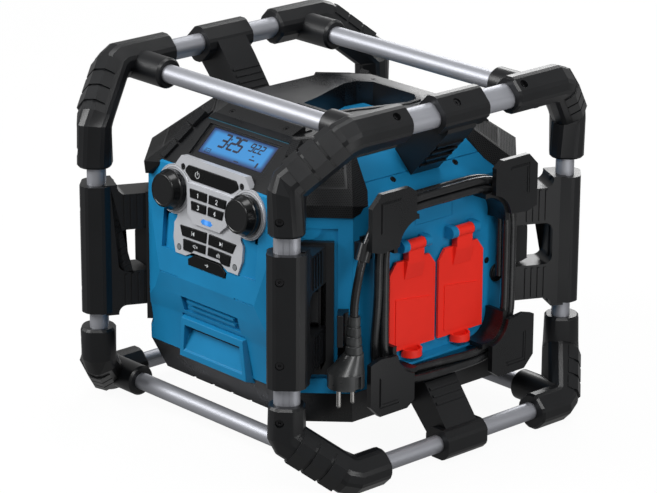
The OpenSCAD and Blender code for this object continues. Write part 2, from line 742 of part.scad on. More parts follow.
// A hinged cover: a plate with clipped top corners, a neck, a knuckle and a thumb tab
cover_x0 = half_w + 2;
module socket_cover(s) {
    y = s * socket_y;
    low = hinge_z - cover_h;
    top = hinge_z - 16;
    w = cover_w / 2;
    color(red) difference() {
        union() {
            translate([cover_x0, y, 0]) rotate([90, 0, 90]) {
                linear_extrude(cover_t) polygon([[-w, low], [w, low], [w, top - 12], [w - 9, top],
                    [9 - w, top], [-w, top - 12]]);
                translate([0, 0, cover_t - 0.6]) linear_extrude(1.6)
                    polygon([[8 - w, low + 6], [w - 8, low + 6], [w - 8, top - 46], [8 - w, top - 40]]);
            }
            hinge_line(y) cylinder(r = knuckle_r - 0.2, h = 2 * lug_half - 0.6, center = true);
            block([cover_x0, y - lug_half + 0.3, top - 4], [hinge_x + 3, y + lug_half - 0.3, hinge_z]);
            xz_wedge = [[cover_x0 + cover_t - 1, top - 20], [cover_x0 + cover_t + 1, top - 20],
                [hinge_x + 3, top - 3], [hinge_x + 3, top], [cover_x0 + cover_t - 1, top]];
            translate([0, y, 0]) xz_prism(xz_wedge, 2 * lug_half + 2);
            translate([cover_x0, y, low - 5]) thumb_tab();
        }
        hinge_line(y) cylinder(d = pin_d + 2 * pin_gap, h = far / 4, center = true);
    }
}
module thumb_tab() {
    difference() {
        union() {
            block([0, -12, -4], [3, 12, 6]);
            translate([1, 0, -4]) cylinder(r = 12, h = 8);
        }
        translate([1, 0, -2]) cylinder(r = 10, h = 9);
        block([-13, -20, -10], [0, 20, 10]);
    }
    block([0, -12, -4], [1.6, 12, 6]);
}
module left_socket_cover() { socket_cover(-1); }
module right_socket_cover() { socket_cover(1); }
module cover_hinge_pins() {
    color(alloy) for (s = [-1, 1]) hinge_line(s * socket_y)
        cylinder(d = pin_d, h = 2 * (lug_half + lug_w) - 3.6, center = true);
}

// ------------------------------------------------------------ speaker corners

// The cap's outer corners: its lower edge, its top edge and the feet of its two side walls
lip_y = half_d;
lip_x = half_w + 2;
cap_sum = (facet_n) * sqrt(2);
top_sum = (facet_n - facet_run * (z_top - facet_low)) * sqrt(2);
cap_edge = [84.5, 84.5 - cap_sum + 39, facet_low + 39 / (sqrt(2) * facet_run)];
cap_points = [[cap_sum - lip_y, -lip_y, facet_low], [lip_x, lip_x - cap_sum, facet_low],
    [top_sum - 71, -71, z_top], [top_sum - 97, -97, z_top],
    cap_edge, [cap_sum - lip_y - 1, -lip_y + 1, facet_low - 13],
    [lip_x - 1, lip_x - 1 - cap_sum + 2, facet_low - 13],
    [half_w - 73, 2 - slope_y, z_slope - 1], [half_w - 87, 3 - top_half_d, z_top - 1],
    [half_w - 1, -86, z_side - 1], [cover_x - 12, -68, z_top - 5],
    [60, -60, z_slope - 30]];
module cap_form() { hull() polyhedron(cap_points, [[for (i = [0:len(cap_points) - 1]) i]]); }
grille_left = [[-24, -13], [4, -39], [24, -46]];
grille_outline = concat(grille_left, [[24, 23], [-24, 19]]);
cap_step = [half_w - 73, 2 - slope_y, z_slope - 1];
cap_rise = [half_w - 87, 3 - top_half_d, z_top - 1] - cap_step;
module speaker_cap() {
    color(black) difference() {
        union() {
            cap_form();
            // three stepped blocks stand along its inner edge
            for (k = [0:2]) along(cap_step + (0.05 + 0.3 * k) * cap_rise, cap_rise, [0, -1, 1])
                block([-10, -4, 0], [1, 5 + k, 0.27 * norm(cap_rise)]);
        }
        body_form(-0.2);
        on_facet() {
            linear_extrude(far / 10) polygon(inset(grille_outline, 3));
            translate([0, 0, cap_proud - grille_t - 0.2]) linear_extrude(far / 10)
                polygon(inset(grille_outline, -0.2));
        }
    }
}
module speaker_cap_fr() { at_corner(0, 0) speaker_cap(); }
module speaker_cap_fl() { at_corner(1, 0) speaker_cap(); }
module speaker_cap_br() { at_corner(0, 1) speaker_cap(); }
module speaker_cap_bl() { at_corner(1, 1) speaker_cap(); }

// The perforated plate in each cap
module grille() {
    rows = floor(40 / (grille_pitch * 0.866) / 2);
    on_facet(cap_proud - grille_t) difference() {
        linear_extrude(grille_t) polygon(grille_outline);
        for (i = [-rows:rows], j = [-9:4]) {
            x = i * grille_pitch * 0.866;
            y = (j + (abs(i) % 2) / 2) * grille_pitch;
            if (abs(x) < 21 && y > lookup(x, grille_left) + 4 && y < 17)
                translate([x, y, -1]) cylinder(d = grille_hole, h = grille_t + 2);
        }
    }
}
module speaker_grilles() { color(black) each_corner() grille(); }

// A small loudspeaker with its flange under the cap
module driver() {
    rotate_extrude() polygon([[0, -30], [20, -30], [20, -18], [driver_d / 2 - 8, -4], [driver_d / 2, -3],
        [driver_d / 2, 0], [driver_d / 2 - 4, 0], [driver_d / 2 - 8, -1.5], [9, -9], [0, -6]]);
}
module speakers() {
    color([0.16, 0.16, 0.17]) each_corner() on_facet(-seat_gap) translate([3, -11, 0]) driver();
}

// ------------------------------------------------------------ base and inside

module base_tray() {
    color(black) difference() {
        union() {
            intersection() {
                shell();
                block([-far, -far, 0], [far, far, z_split - seam / 2]);
            }
            for (x = [-45, 45], y = [62, 118]) translate([x, y, z_tray + 1]) cylinder(d = 9, h = 9);
        }
        // the woofer's opening, and small notches along the lower edge
        translate([0, -40, 0]) cylinder(d = woofer_d - 22, h = z_tray + 20);
        for (x = [-60:30:60], s = [0, 1]) mirror([0, s, 0]) translate([x, 33 - half_d, z_tray - 1])
            rotate([0, 0, 45]) cube([5, 5, 7], center = true);
    }
}
module subwoofer() {
    color([0.14, 0.14, 0.15]) translate([0, -40, z_tray + shell_wall + seat_gap]) rotate_extrude()
        polygon([[0, 58], [34, 58], [34, 40], [woofer_d / 2 - 8, 8], [woofer_d / 2, 5], [woofer_d / 2, 0],
            [woofer_d / 2 - 10, 0], [woofer_d / 2 - 14, 4], [20, 24], [0, 18]]);
}
module power_supply() {
    z0 = z_tray + 10 + seat_gap;
    color([0.05, 0.3, 0.15]) {
        block([-60, 52, z0], [60, 128, z0 + 2]);
        block([-50, 60, z0 + 1.5], [-8, 104, z0 + 40]);
        for (x = [12, 36]) translate([x, 84, z0 + 1.5]) cylinder(d = 18, h = 30);
    }
}

// The battery bay behind the rear shell, its pack and its hinged door
bay_gap = 0.5;
bay_low = z_crease + 12;
bay_wall = 2.5;
bay_back = slope_y - pack_l - 16;
door_half = pack_w / 2 + 9;
door_v = 4;
door_h = pack_h + 14;
axle_v = door_v - 5.2;
rear_pin_d = 3.6;
module on_rear() {
    mirror([0, 1, 0]) translate([0, -half_d, z_crease]) rotate([90 - front_tilt, 0, 0]) children();
}
module rear_shell() {
    color(blue) difference() {
        union() {
            intersection() {
                shell();
                block([-far, seam_y + seam / 2, z_split + seam / 2], [far, far, far]);
            }
            intersection() {
                body_form();
                union() {
                    each_side() mirror([0, 1, 0]) on_chamfer()
                        block([-33, -6, z_split + seam / 2 - z_mid], [33, 10, 84]);
                    block([-pack_w / 2 - bay_gap - bay_wall, bay_back, bay_low - bay_wall],
                        [pack_w / 2 + bay_gap + bay_wall, far, bay_low + pack_h + 2 * bay_gap + bay_wall]);
                    on_rear() translate([-door_half - 4, door_v - 9, -7])
                        cube([2 * door_half + 8, door_h + 13, 20]);
                }
            }
            on_rear() for (s = [-1, 1]) translate([s * (door_half - 12), axle_v, 1]) rotate([0, 90, 0])
                door_lug();
        }
        block([-pack_w / 2 - bay_gap, bay_back + bay_wall, bay_low],
            [pack_w / 2 + bay_gap, far, bay_low + pack_h + 2 * bay_gap]);
        on_rear() {
            translate([-door_half - 0.4, door_v - 0.4, -door_t - 0.3])
                cube([2 * door_half + 0.8, door_h + 0.8, 20]);
            door_pin_bore(0.05);
            translate([-door_half + 16, axle_v - 4.2, -4.5]) cube([2 * door_half - 32, 10, 20]);
        }
        each_side() mirror([0, 1, 0]) chamfer_pocket();
        top_cover_zone(-seam);
    }
}
module door_lug() {
    cylinder(r = 3.4, h = 7, center = true);
    translate([2, 0, 0]) cube([4, 6.8, 7], center = true);
}
module door_pin_bore(gap) {
    translate([0, axle_v, 1]) rotate([0, 90, 0])
        cylinder(d = rear_pin_d + 2 * gap, h = 2 * door_half - 20, center = true);
}
module battery_door() {
    color(blue) on_rear() difference() {
        union() {
            translate([-door_half, door_v, -door_t]) cube([2 * door_half, door_h, door_t]);
            translate([-door_half + 17, axle_v, 1]) rotate([0, 90, 0])
                cylinder(r = 3.6, h = 2 * door_half - 34);
            translate([-door_half + 17, axle_v, -1.6]) cube([2 * door_half - 34, 8, 3.6]);
            for (v = [14:9:50]) translate([-door_half + 12, v, -0.5]) cube([2 * door_half - 24, 2.5, 1.5]);
            translate([-18, door_h + door_v - 12, -0.5]) cube([36, 6, 2.5]);
        }
        door_pin_bore(pin_gap);
    }
}
module battery_door_pin() {
    color(alloy) on_rear() translate([0, axle_v, 1]) rotate([0, 90, 0])
        cylinder(d = rear_pin_d, h = 2 * door_half - 21, center = true);
}
module battery_pack() {
    y0 = bay_back + bay_wall + bay_gap;
    color([0.12, 0.13, 0.14]) {
        block([-pack_w / 2, y0, bay_low + seat_gap], [pack_w / 2, y0 + pack_l, bay_low + pack_h - 14]);
        block([-pack_w / 2 + 18, y0 + 2, bay_low + pack_h - 15],
            [pack_w / 2 - 18, y0 + pack_l - 10, bay_low + pack_h]);
    }
}

// ------------------------------------------------------------ hooks and cord

hook_outline = [[56, 82], [79, 58], [103, 56], [117, 60], [117, 105], [104, 118], [66, 118], [56, 111]];
bend_y = coil_half_y - bundle - coil_bend;
bend_z = coil_half_z - bundle - coil_bend;
bend_r = coil_bend - 0.4;
hook_feet = [for (a = [18, 72]) (bend_r + 3.5) * [cos(a), sin(a)]];
module hook() {
    translate([half_w, 0, z_mid]) rotate([90, 0, 90]) {
        difference() {
            translate([0, 0, hook_reach]) linear_extrude(hook_t) difference() {
                polygon(hook_outline);
                translate([bend_y, bend_z]) circle(bend_r - 2);
            }
            // an L-shaped groove in the face
            translate([0, 0, hook_reach + hook_t - 0.8]) linear_extrude(5) {
                translate([78, 108]) square([27, 1.2]);
                translate([104, 76]) square([1.2, 33]);
            }
        }
        translate([bend_y, bend_z, seat_gap]) difference() {
            union() {
                linear_extrude(hook_reach) intersection() {
                    difference() {
                        circle(bend_r);
                        circle(bend_r - 5);
                    }
                    translate([-4, -4]) square(far);
                }
                for (q = hook_feet) translate(q) cylinder(d = 10, h = 3);
            }
            for (q = hook_feet) translate([q[0], q[1], -1]) cylinder(d = 3.4, h = 5);
        }
    }
}
module each_hook() {
    for (sy = [0, 1], sz = [0, 1]) translate([0, 0, z_mid]) mirror([0, sy, 0]) mirror([0, 0, sz])
        translate([0, 0, -z_mid]) children();
}
module cord_hooks() { color(black) each_hook() hook(); }

coil_x = half_w + 5;
module round_box(y, z, r) {
    for (p = [[y - r, z], [y, z - r]]) square(2 * p, center = true);
    for (sy = [-1, 1], sz = [-1, 1]) translate([sy * (y - r), sz * (z - r)]) circle(r);
}
module cord_coil() {
    color(black) translate([coil_x, 0, z_mid]) rotate([90, 0, 90]) linear_extrude(bundle) difference() {
        round_box(coil_half_y, coil_half_z, coil_bend + bundle);
        round_box(coil_half_y - bundle, coil_half_z - bundle, coil_bend);
    }
}

// The free end of the cord, from the coil over the clip down to the plug
tail_route = [for (q = [[10, 50, 285], [10, 40, 281], [10, 29, 274], [11, 19, 265], [12, 10, 254],
    [13, 3, 240], [14, -2, 226], [15, -7, 213], [15, -10, 200], [15, -12, 188], [15, -12, 177]])
    [half_w + q[0], q[1] - seam_y, q[2]]];
tail_section = [for (i = [0:9]) cord_d / 2 * [cos(36 * i), sin(36 * i)]];
tail_rings = [for (i = [0:len(tail_route) - 1])
    let(a = tail_route[max(i - 1, 0)], b = tail_route[min(i + 1, len(tail_route) - 1)])
    ring(tail_route[i], unit(b - a), [1, 0, 0], tail_section)];
module cord_tail() {
    color(black) polyhedron([for (r = tail_rings, p = r) p], skin(len(tail_rings), len(tail_section)));
}
tail_end = tail_route[len(tail_route) - 1];

module cord_gland() {
    color(black) translate([half_w + seat_gap, coil_half_y - bundle / 2, z_mid - 16]) rotate([0, 90, 0]) {
        cylinder(d = 20, h = 2);
        cylinder(d = 14, h = coil_x - half_w - 2 * seat_gap);
    }
}
clip_at = tail_route[5];
module cord_clip() {
    color(black) difference() {
        union() {
            along(clip_at, tail_route[6] - tail_route[4], [1, 0, 0]) translate([0, 0, -9])
                cylinder(r = cord_d / 2 + 3, h = 18);
            block([half_w + seat_gap, 1 - seam_y, 231], [half_w + 9, 9 - seam_y, 249]);
            block([half_w + seat_gap, 8 - seam_y, 227], [half_w + 3.3, 23 - seam_y, 253]);
        }
        for (i = [4, 5]) along(tail_route[i], tail_route[i + 1] - tail_route[i], [1, 0, 0])
            translate([0, 0, -12]) cylinder(r = cord_d / 2 + seat_gap, h = 38);
    }
}

// The plug hangs with its pins down; the sleeve on the cord tapers into it
plug_c = [half_w + 12, -seam_y - 20, 104];
plug_r = 19;
module strain_relief() {
    color(black) translate([tail_end[0], tail_end[1], plug_c[2] + 34]) rotate_extrude()
        polygon([[0, 0], [9, 0], [8.4, 8], [7.2, 8], [7.2, 10], [8.2, 10], [7.6, 18], [6.4, 18], [6.4, 20],
            [7.4, 20], [6.8, 28], [5.8, 28], [5.8, 30], [6.6, 30], [6.2, tail_end[2] - plug_c[2] - 34],
            [0, tail_end[2] - plug_c[2] - 34]]);
}
module plug() {
    color(black) translate(plug_c) {
        difference() {
            union() {
                cylinder(r = plug_r, h = 16);
                hull() {
                    translate([0, 0, 15]) cylinder(r = plug_r - 0.5, h = 1, $fn = 32);
                    translate([tail_end[0] - plug_c[0], tail_end[1] - plug_c[1], 33])
                        cylinder(r = 10, h = 1, $fn = 32);
                }
            }
            for (s = [-1, 1]) translate([s * plug_r, 0, -1]) cube([6, 8, 30], center = true);
        }
    }
}
module plug_pins() {
    color(alloy) for (s = [-1, 1]) translate(plug_c + [0, s * 9.5, -19]) {
        cylinder(d = 4.8, h = 19);
        sphere(d = 4.8);
    }
}

// The holder stands on the chamfer beside the side panel and steadies the plug
module plug_holder() {
    color(black) difference() {
        on_chamfer() block([-40, seat_gap, -92], [-29, 22, -8]);
        translate([tail_end[0], tail_end[1], plug_c[2] - 10]) cylinder(r = 11, h = 100);
        translate([plug_c[0], plug_c[1], plug_c[2] - 20]) cylinder(r = plug_r + 0.6, h = 60);
        body_form(-seat_gap);
    }
}

// ------------------------------------------------------------ cage

upper_path = [[post_x, -post_y, z_mid + 89], [post_x, -post_y, z_mid + 137],
    [top_rail_x, 51 - post_y, top_rail_z], [top_rail_x, 123 - post_y, top_rail_z]];
lower_path = [[post_x, -post_y, z_mid - 89], [post_x, -post_y, z_mid - 125],
    [low_rail_x, 45 - post_y, low_rail_z], [low_rail_x, 88 - post_y, low_rail_z]];
cross_top = [post_y - 79, top_rail_z - 5];
cross_low = [post_y - 47, low_rail_z + 4.5];
top_mouth_x = top_rail_x - 57;
low_mouth_x = low_rail_x - 55;
cross_w = 21;
cross_t = 19;
elbow_back = 17;
elbow_section = eased(octagon(elbow_half, elbow_out, elbow_back, 9), 2.5);
lip_section = eased(octagon(elbow_half - 2, elbow_out - 2, elbow_back - 2, 8), 2.5);
bend_trim = 5;

// A path with both of its bends trimmed into two smaller ones
function trimmed(p, r) = [p[0], p[1] + r * unit(p[0] - p[1]), p[1] + r * unit(p[2] - p[1]),
    p[2] + r * unit(p[1] - p[2]), p[2] + r * unit(p[3] - p[2]), p[3]];
function elbow_rings(p, up) = let(q = trimmed(p, bend_trim), d0 = unit(q[1] - q[0]), d1 = unit(q[5] - q[4]))
    concat([ring(q[0], d0, up, lip_section), ring(q[0] + 2.5 * d0, d0, up, elbow_section)],
        [for (i = [1:4]) mitre(q[i], unit(q[i] - q[i - 1]), unit(q[i + 1] - q[i]), up, elbow_section)],
        [ring(q[5] - 2.5 * d1, d1, up, elbow_section), ring(q[5], d1, up, lip_section)]);

// One elbow skin with three raised pads on its sloping middle
module elbow_skin(p, up) {
    rings = elbow_rings(p, up);
    polyhedron([for (r = rings, v = r) v], skin(len(rings), len(elbow_section)));
    d = p[2] - p[1];
    w = elbow_half + 1.2;
    h = elbow_out + 1.6;
    pad = [[w, 0], [w, h - 9], [w - 9, h], [9 - w, h], [-w, h - 9], [-w, 0]];
    for (k = [0.16, 0.42, 0.68]) along(p[1] + k * d, d, up) linear_extrude(0.22 * norm(d)) polygon(pad);
}
module branch(x, y, z, mouth) {
    translate([mouth, y, z]) rotate([0, 90, 0]) {
        translate([0, 0, 2.5]) cylinder(r = 16.5, h = x - mouth - 2.5);
        cylinder(r1 = 14.5, r2 = 16.5, h = 2.5);
    }
}
module on_post(z) { translate([post_x, -post_y, z]) rotate([0, 0, 45]) children(); }
module on_top_rail(y) {
    translate([top_rail_x, y, top_rail_z]) rotate([0, 45, 0]) rotate([90, 0, 0]) children();
}
module on_low_rail(y) { translate([low_rail_x, y, low_rail_z]) rotate([90, 0, 0]) children(); }

module oval_socket() { oval(oval_w + 2 * socket_gap, oval_t + 2 * socket_gap); }

module upper_elbow() {
    p = upper_path;
    difference() {
        union() {
            elbow_skin(p, [1, -1, 1]);
            branch(top_rail_x, -cross_top[0], cross_top[1], top_mouth_x);
        }
        on_post(p[0][2] - 1) linear_extrude(tube_grip + 1) oval_socket();
        on_top_rail(p[3][1] + 1) linear_extrude(tube_grip + 1) oval_socket();
        cross_bore(-cross_top[0], cross_top[1], top_mouth_x, cross_w);
    }
}
module cross_bore(y, z, mouth, w) {
    translate([mouth - 1, y, z]) rotate([90, 0, 90]) linear_extrude(tube_grip + 1)
        oval(w + 2 * socket_gap, cross_t + 2 * socket_gap);
}
module lower_elbow() {
    p = lower_path;
    intersection() {
        difference() {
            union() {
                elbow_skin(p, [1, -1, -1]);
                branch(low_rail_x, -cross_low[0], cross_low[1], low_mouth_x);
            }
            on_post(p[0][2] - tube_grip) linear_extrude(tube_grip + 1) oval_socket();
            on_low_rail(p[3][1] + 1) cylinder(d = round_d + 2 * socket_gap, h = tube_grip + 1);
            translate([low_mouth_x - 1, -cross_low[0], cross_low[1]]) rotate([0, 90, 0])
                cylinder(d = round_d + 2 * socket_gap, h = tube_grip + 1);
        }
        block([-far, -far, 0], [far, far, far]);
    }
}
module upper_elbows() {
    color(black) difference() {
        each_corner() upper_elbow();
        screw_places() cage_hole();
    }
}
module lower_elbows() {
    color(black) difference() {
        each_corner() lower_elbow();
        screw_places() cage_hole();
    }
}

// The tubes
tube_back = 0.6;
module tube_oval(w, t) {
    difference() {
        oval(w, t);
        oval(w - 2 * tube_wall, t - 2 * tube_wall);
    }
}
module tube_round() {
    difference() {
        circle(d = round_d);
        circle(d = round_d - 2 * tube_wall);
    }
}
module cage_posts() {
    low = lower_path[0][2] - tube_grip + tube_back;
    high = upper_path[0][2] + tube_grip - tube_back;
    color(alloy) difference() {
        each_corner() on_post(low) linear_extrude(high - low) difference() {
            tube_oval(oval_w, oval_t);
            for (s = [-1, 1]) translate([s * 3, -oval_t / 2]) square([0.8, 0.8], center = true);
        }
        screw_places() cage_hole();
    }
}
module top_rails() {
    half = -upper_path[3][1] + tube_grip - tube_back;
    color(alloy) difference() {
        each_side() on_top_rail(0) linear_extrude(2 * half, center = true) tube_oval(oval_w, oval_t);
        screw_places() cage_hole();
    }
}
module bottom_rails() {
    half = -lower_path[3][1] + tube_grip - tube_back;
    color(alloy) difference() {
        each_side() on_low_rail(0) linear_extrude(2 * half, center = true) tube_round();
        screw_places() cage_hole();
    }
}
module cross_rails() {
    color(alloy) for (s = [0, 1]) mirror([0, s, 0]) {
        translate([0, -cross_top[0], cross_top[1]]) rotate([90, 0, 90])
            linear_extrude(2 * (top_mouth_x + tube_grip - tube_back), center = true)
                tube_oval(cross_w, cross_t);
        translate([0, -cross_low[0], cross_low[1]]) rotate([0, 90, 0])
            linear_extrude(2 * (low_mouth_x + tube_grip - tube_back), center = true) tube_round();
    }
}

// Screws through the sockets into the tubes, each along a line out of its tube's axis
screw_seat = 12.6;
head_t = 3;
module cage_screw() {
    difference() {
        translate([0, 0, screw_seat]) cylinder(d = cage_head_d, h = head_t);
        translate([0, 0, screw_seat + 1]) cylinder(d = 3.6, h = head_t, $fn = 6);
    }
    translate([0, 0, screw_seat - 5.8]) cylinder(d = cage_shank_d, h = 6);
}
module cage_hole() {
    translate([0, 0, screw_seat - 0.05]) cylinder(d = cage_head_d + 0.8, h = 12);
    translate([0, 0, screw_seat - 6.4]) cylinder(d = cage_shank_d + 0.3, h = 7);
}
post_screw_side = 6.2;
module screw_places() {
    each_corner() for (z = [lower_path[0][2] - 15, z_mid - 43.6, z_mid + 43.6, upper_path[0][2] + 17])
        translate([post_x, -post_y, z]) rotate([0, 0, -45]) rotate([0, 90, 0])
            translate([0, -post_screw_side, 0]) children();
    each_side() {
        for (y = [104 - post_y, -8.6, post_y - 112])
            translate([top_rail_x, y, top_rail_z]) rotate([0, 45, 0]) children();
        for (y = [75 - post_y, -8.6, post_y - 75])
            translate([low_rail_x, y, low_rail_z]) rotate([0, 180, 0]) children();
    }
}
module cage_screws() { color([0.05, 0.05, 0.05]) screw_places() cage_screw(); }

// A corner mount: a sleeve on the upright tube, two arms and a plate in the chamfer
chamfer_c = [half_w - corner_cut / 2, corner_cut / 2 - half_d];
arm = [post_x, -post_y] - chamfer_c;
arm_l = norm(arm);
arm_half = 17.5;
module corner_mount() {
    difference() {
        union() {
            on_post(z_mid - sleeve_half) linear_extrude(2 * sleeve_half)
                polygon(eased(octagon(20, 17, 17, 8), 2));
            intersection() {
                translate([chamfer_c[0], chamfer_c[1], z_mid]) rotate([0, 0, atan2(arm[1], arm[0])]) arms();
                on_chamfer() block([-far, seat_gap - 2.5, -far], [far, far, far]);
            }
            on_chamfer() {
                block([-25, seat_gap - 2.5, -78], [25, 4, 63]);
                // a faceted block between the arms, and three ribs
                rotate([90, 0, 90]) linear_extrude(20, center = true)
                    polygon([[3, -26], [17.5, -17], [17.5, 15], [11, 21], [3, 21]]);
                for (x = [-11, -5.5, 0]) block([x - 1, 3, -74], [x + 1, 5.6, 58]);
            }
        }
        on_post(z_mid - far / 2) linear_extrude(far) oval_socket();
    }
}
module arms() {
    rotate([90, 0, 0]) linear_extrude(2 * arm_half, center = true) difference() {
        translate([-12, -73]) square([arm_l + 8, 144]);
        // the window between the arms, and the cut above and below them
        arm_cut(-25, 21);
        arm_cut(60, 100);
        arm_cut(-100, -63);
    }
    for (x = [12:7:33], z = [[24, 58], [-61, -28]], s = [-1, 1])
        block([x - 1.3, s * arm_half - 1.4, z[0]], [x + 1.3, s * arm_half + 1.4, z[1]]);
}
module arm_cut(low, high) {
    r = 9;
    end = arm_l - 18;
    translate([-20, low]) square([20 + end - r, high - low]);
    translate([-20, low + r]) square([20 + end, high - low - 2 * r]);
    for (z = [low + r, high - r]) translate([end - r, z]) circle(r);
}
module corner_mounts() {
    color(black) difference() {
        each_corner() corner_mount();
        screw_places() cage_hole();
    }
}

// Clamps in the middle of the side rails, each with an arm down or up to the body
clamp_r = 17;
top_arm_w = 40;
module clamp_ribs(a, b, shares, w) {
    turn = -atan2(b[1] - a[1], b[0] - a[0]);
    for (k = shares) {
        p = a + k * (b - a);
        translate([p[0], 0, p[1]]) rotate([0, turn, 0]) cube([3, w, 3], center = true);
    }
}
module top_clamp() {
    inner = [[top_rail_x - 16, top_rail_z + 10], [top_rail_x - 36, top_rail_z - 14],
        [cover_x - 3, cover_low - 6]];
    outer = [[cover_x + 22, cover_low - 26], [top_rail_x + 10, top_rail_z - 20],
        [top_rail_x + 16, top_rail_z - 4]];
    difference() {
        union() {
            on_top_rail(0) linear_extrude(62, center = true)
                polygon(eased(octagon(19, clamp_r, clamp_r, 8), 2));
            difference() {
                union() {
                    xz_prism(concat(inner, outer), top_arm_w);
                    clamp_ribs(inner[1], inner[2], [0.2, 0.34, 0.48, 0.62, 0.76], top_arm_w - 4);
                    clamp_ribs(outer[1], outer[0], [0.3, 0.45, 0.6, 0.75], top_arm_w - 4);
                }
                body_form(-seat_gap);
            }
        }
        on_top_rail(0) linear_extrude(far, center = true) oval_socket();
    }
}
module bottom_clamp() {
    outer = [[low_rail_x + 8, low_rail_z + 14], [low_rail_x - 26, low_rail_z + 58],
        [half_w - 14, low_rail_z + 62]];
    inner = [[half_w - 14, low_rail_z + 36], [low_rail_x - 20, low_rail_z + 2],
        [low_rail_x - 8, low_rail_z - 14]];
    difference() {
        union() {
            on_low_rail(0) linear_extrude(56, center = true)
                polygon(eased(octagon(17, 16.5, 16.5, 8), 2));
            difference() {
                union() {
                    xz_prism(concat(outer, inner), 44);
                    clamp_ribs(outer[0], outer[1], [0.55, 0.7, 0.85], 40);
                }
                body_form(-seat_gap);
            }
        }
        on_low_rail(0) cylinder(d = round_d + 2 * socket_gap, h = far, center = true);
    }
}
module top_clamps() {
    color(black) difference() {
        each_side() top_clamp();
        screw_places() cage_hole();
    }
}
module bottom_clamps() {
    color(black) difference() {
        each_side() bottom_clamp();
        screw_places() cage_hole();
    }
}

// ------------------------------------------------------------ all nodes

front_shell();
rear_shell();
base_tray();
top_cover();
recess_floor();
display_panel();
lcd_lens();
lcd_module();
control_fascia();
outlet_panel();
left_panel();
speaker_cap_fr();
speaker_cap_fl();
speaker_cap_br();
speaker_cap_bl();
speaker_grilles();
speakers();
subwoofer();
circuit_board();
power_supply();
battery_pack();
battery_door();
battery_door_pin();
power_button();
preset_button(1);  // preset_button_1
preset_button(2);  // preset_button_2
preset_button(3);  // preset_button_3
preset_button(4);  // preset_button_4
previous_button();
next_button();
mute_button();
equalizer_button();
source_button();
status_light();
tuning_knob();
volume_knob();
socket_inserts();
left_socket_cover();
right_socket_cover();
cover_hinge_pins();
cord_hooks();
cord_clip();
plug_holder();
cord_gland();
cord_coil();
cord_tail();
strain_relief();
plug();
plug_pins();
upper_elbows();
lower_elbows();
corner_mounts();
top_clamps();
bottom_clamps();
cage_posts();
top_rails();
bottom_rails();
cross_rails();
cage_screws();
body_screws();
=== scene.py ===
"""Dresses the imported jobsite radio: moulded housings, tubular cage, wound cord and lit display."""

import json
import math

import bmesh
import bpy
from mathutils import Matrix, Vector, geometry

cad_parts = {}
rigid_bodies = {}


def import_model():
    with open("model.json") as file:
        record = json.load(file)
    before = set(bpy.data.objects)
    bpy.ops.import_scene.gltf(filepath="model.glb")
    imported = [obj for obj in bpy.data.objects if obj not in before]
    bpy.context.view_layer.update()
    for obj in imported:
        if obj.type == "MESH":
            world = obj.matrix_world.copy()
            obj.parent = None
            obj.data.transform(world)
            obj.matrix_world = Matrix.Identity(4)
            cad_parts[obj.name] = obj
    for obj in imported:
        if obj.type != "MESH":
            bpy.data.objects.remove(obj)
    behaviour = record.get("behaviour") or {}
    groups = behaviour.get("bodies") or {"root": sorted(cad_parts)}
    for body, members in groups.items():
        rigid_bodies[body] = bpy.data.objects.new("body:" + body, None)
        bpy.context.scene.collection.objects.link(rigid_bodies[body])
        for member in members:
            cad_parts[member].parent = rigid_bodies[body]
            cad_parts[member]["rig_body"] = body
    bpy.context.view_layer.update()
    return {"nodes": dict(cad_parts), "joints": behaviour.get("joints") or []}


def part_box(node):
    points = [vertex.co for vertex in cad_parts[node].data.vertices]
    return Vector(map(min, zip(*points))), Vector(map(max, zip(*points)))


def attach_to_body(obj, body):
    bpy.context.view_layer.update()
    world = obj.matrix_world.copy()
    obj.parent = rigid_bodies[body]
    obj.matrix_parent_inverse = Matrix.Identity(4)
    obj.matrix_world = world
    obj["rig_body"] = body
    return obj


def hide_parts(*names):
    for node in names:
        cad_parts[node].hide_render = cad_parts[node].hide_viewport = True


bl_info = {
    "name": "Jobsite radio",
    "version": (1, 0, 0),
    "blender": (4, 5, 0),
    "location": "3D View > Sidebar > Radio",
    "description": "Builds the looks of a jobsite radio in a roll cage around its CAD model",
    "category": "Object",
}

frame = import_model()
MM = 0.001
HOUSING = "housing"
LEVEL_UP = Vector((0, 0, 1))
WHITE = (1.0, 1.0, 1.0, 1.0)


def settings():
    return bpy.context.scene.jobsite_radio


# ---- sloping faces


def sloping_face(origin, up, out):
    """Gives the points of a face, in millimetres: x across, v up it and lift out of it."""
    def place(x, v, lift=0.0):
        return origin + (Vector((x, 0, 0)) + up * v + out * lift) * MM
    return place


KNOB = next(joint for joint in frame["joints"] if joint["name"] == "volume_knob_turn")
KNOB_X = KNOB["pos_m"][0] / MM
# how far up the fascia the knobs are, and how far out of it their joints are set
KNOB_V, KNOB_LIFT = 65.5, 0.6
FASCIA_OUT = Vector(KNOB["axis"])
FASCIA_UP = Vector((0.0, FASCIA_OUT.z, -FASCIA_OUT.y))
FASCIA_FOOT = Vector((0.0, *KNOB["pos_m"][1:])) - FASCIA_UP * KNOB_V * MM - FASCIA_OUT * KNOB_LIFT * MM
on_fascia = sloping_face(FASCIA_FOOT, FASCIA_UP, FASCIA_OUT)

SLOPE = math.radians(41.75)
SLOPE_UP = Vector((0.0, math.cos(SLOPE), math.sin(SLOPE)))
SLOPE_OUT = Vector((0.0, -math.sin(SLOPE), math.cos(SLOPE)))
SLOPE_FOOT = Vector((0.0, -163.77, 288.0)) * MM
on_slope = sloping_face(SLOPE_FOOT, SLOPE_UP, SLOPE_OUT)
# the display glass on the slope: its lower and upper edge, half its width, and how deep it lies
GLASS_V, GLASS_HALF_M, GLASS_LIFT = (25.3, 57.3), 0.0495, -3.3


# ---- node trees


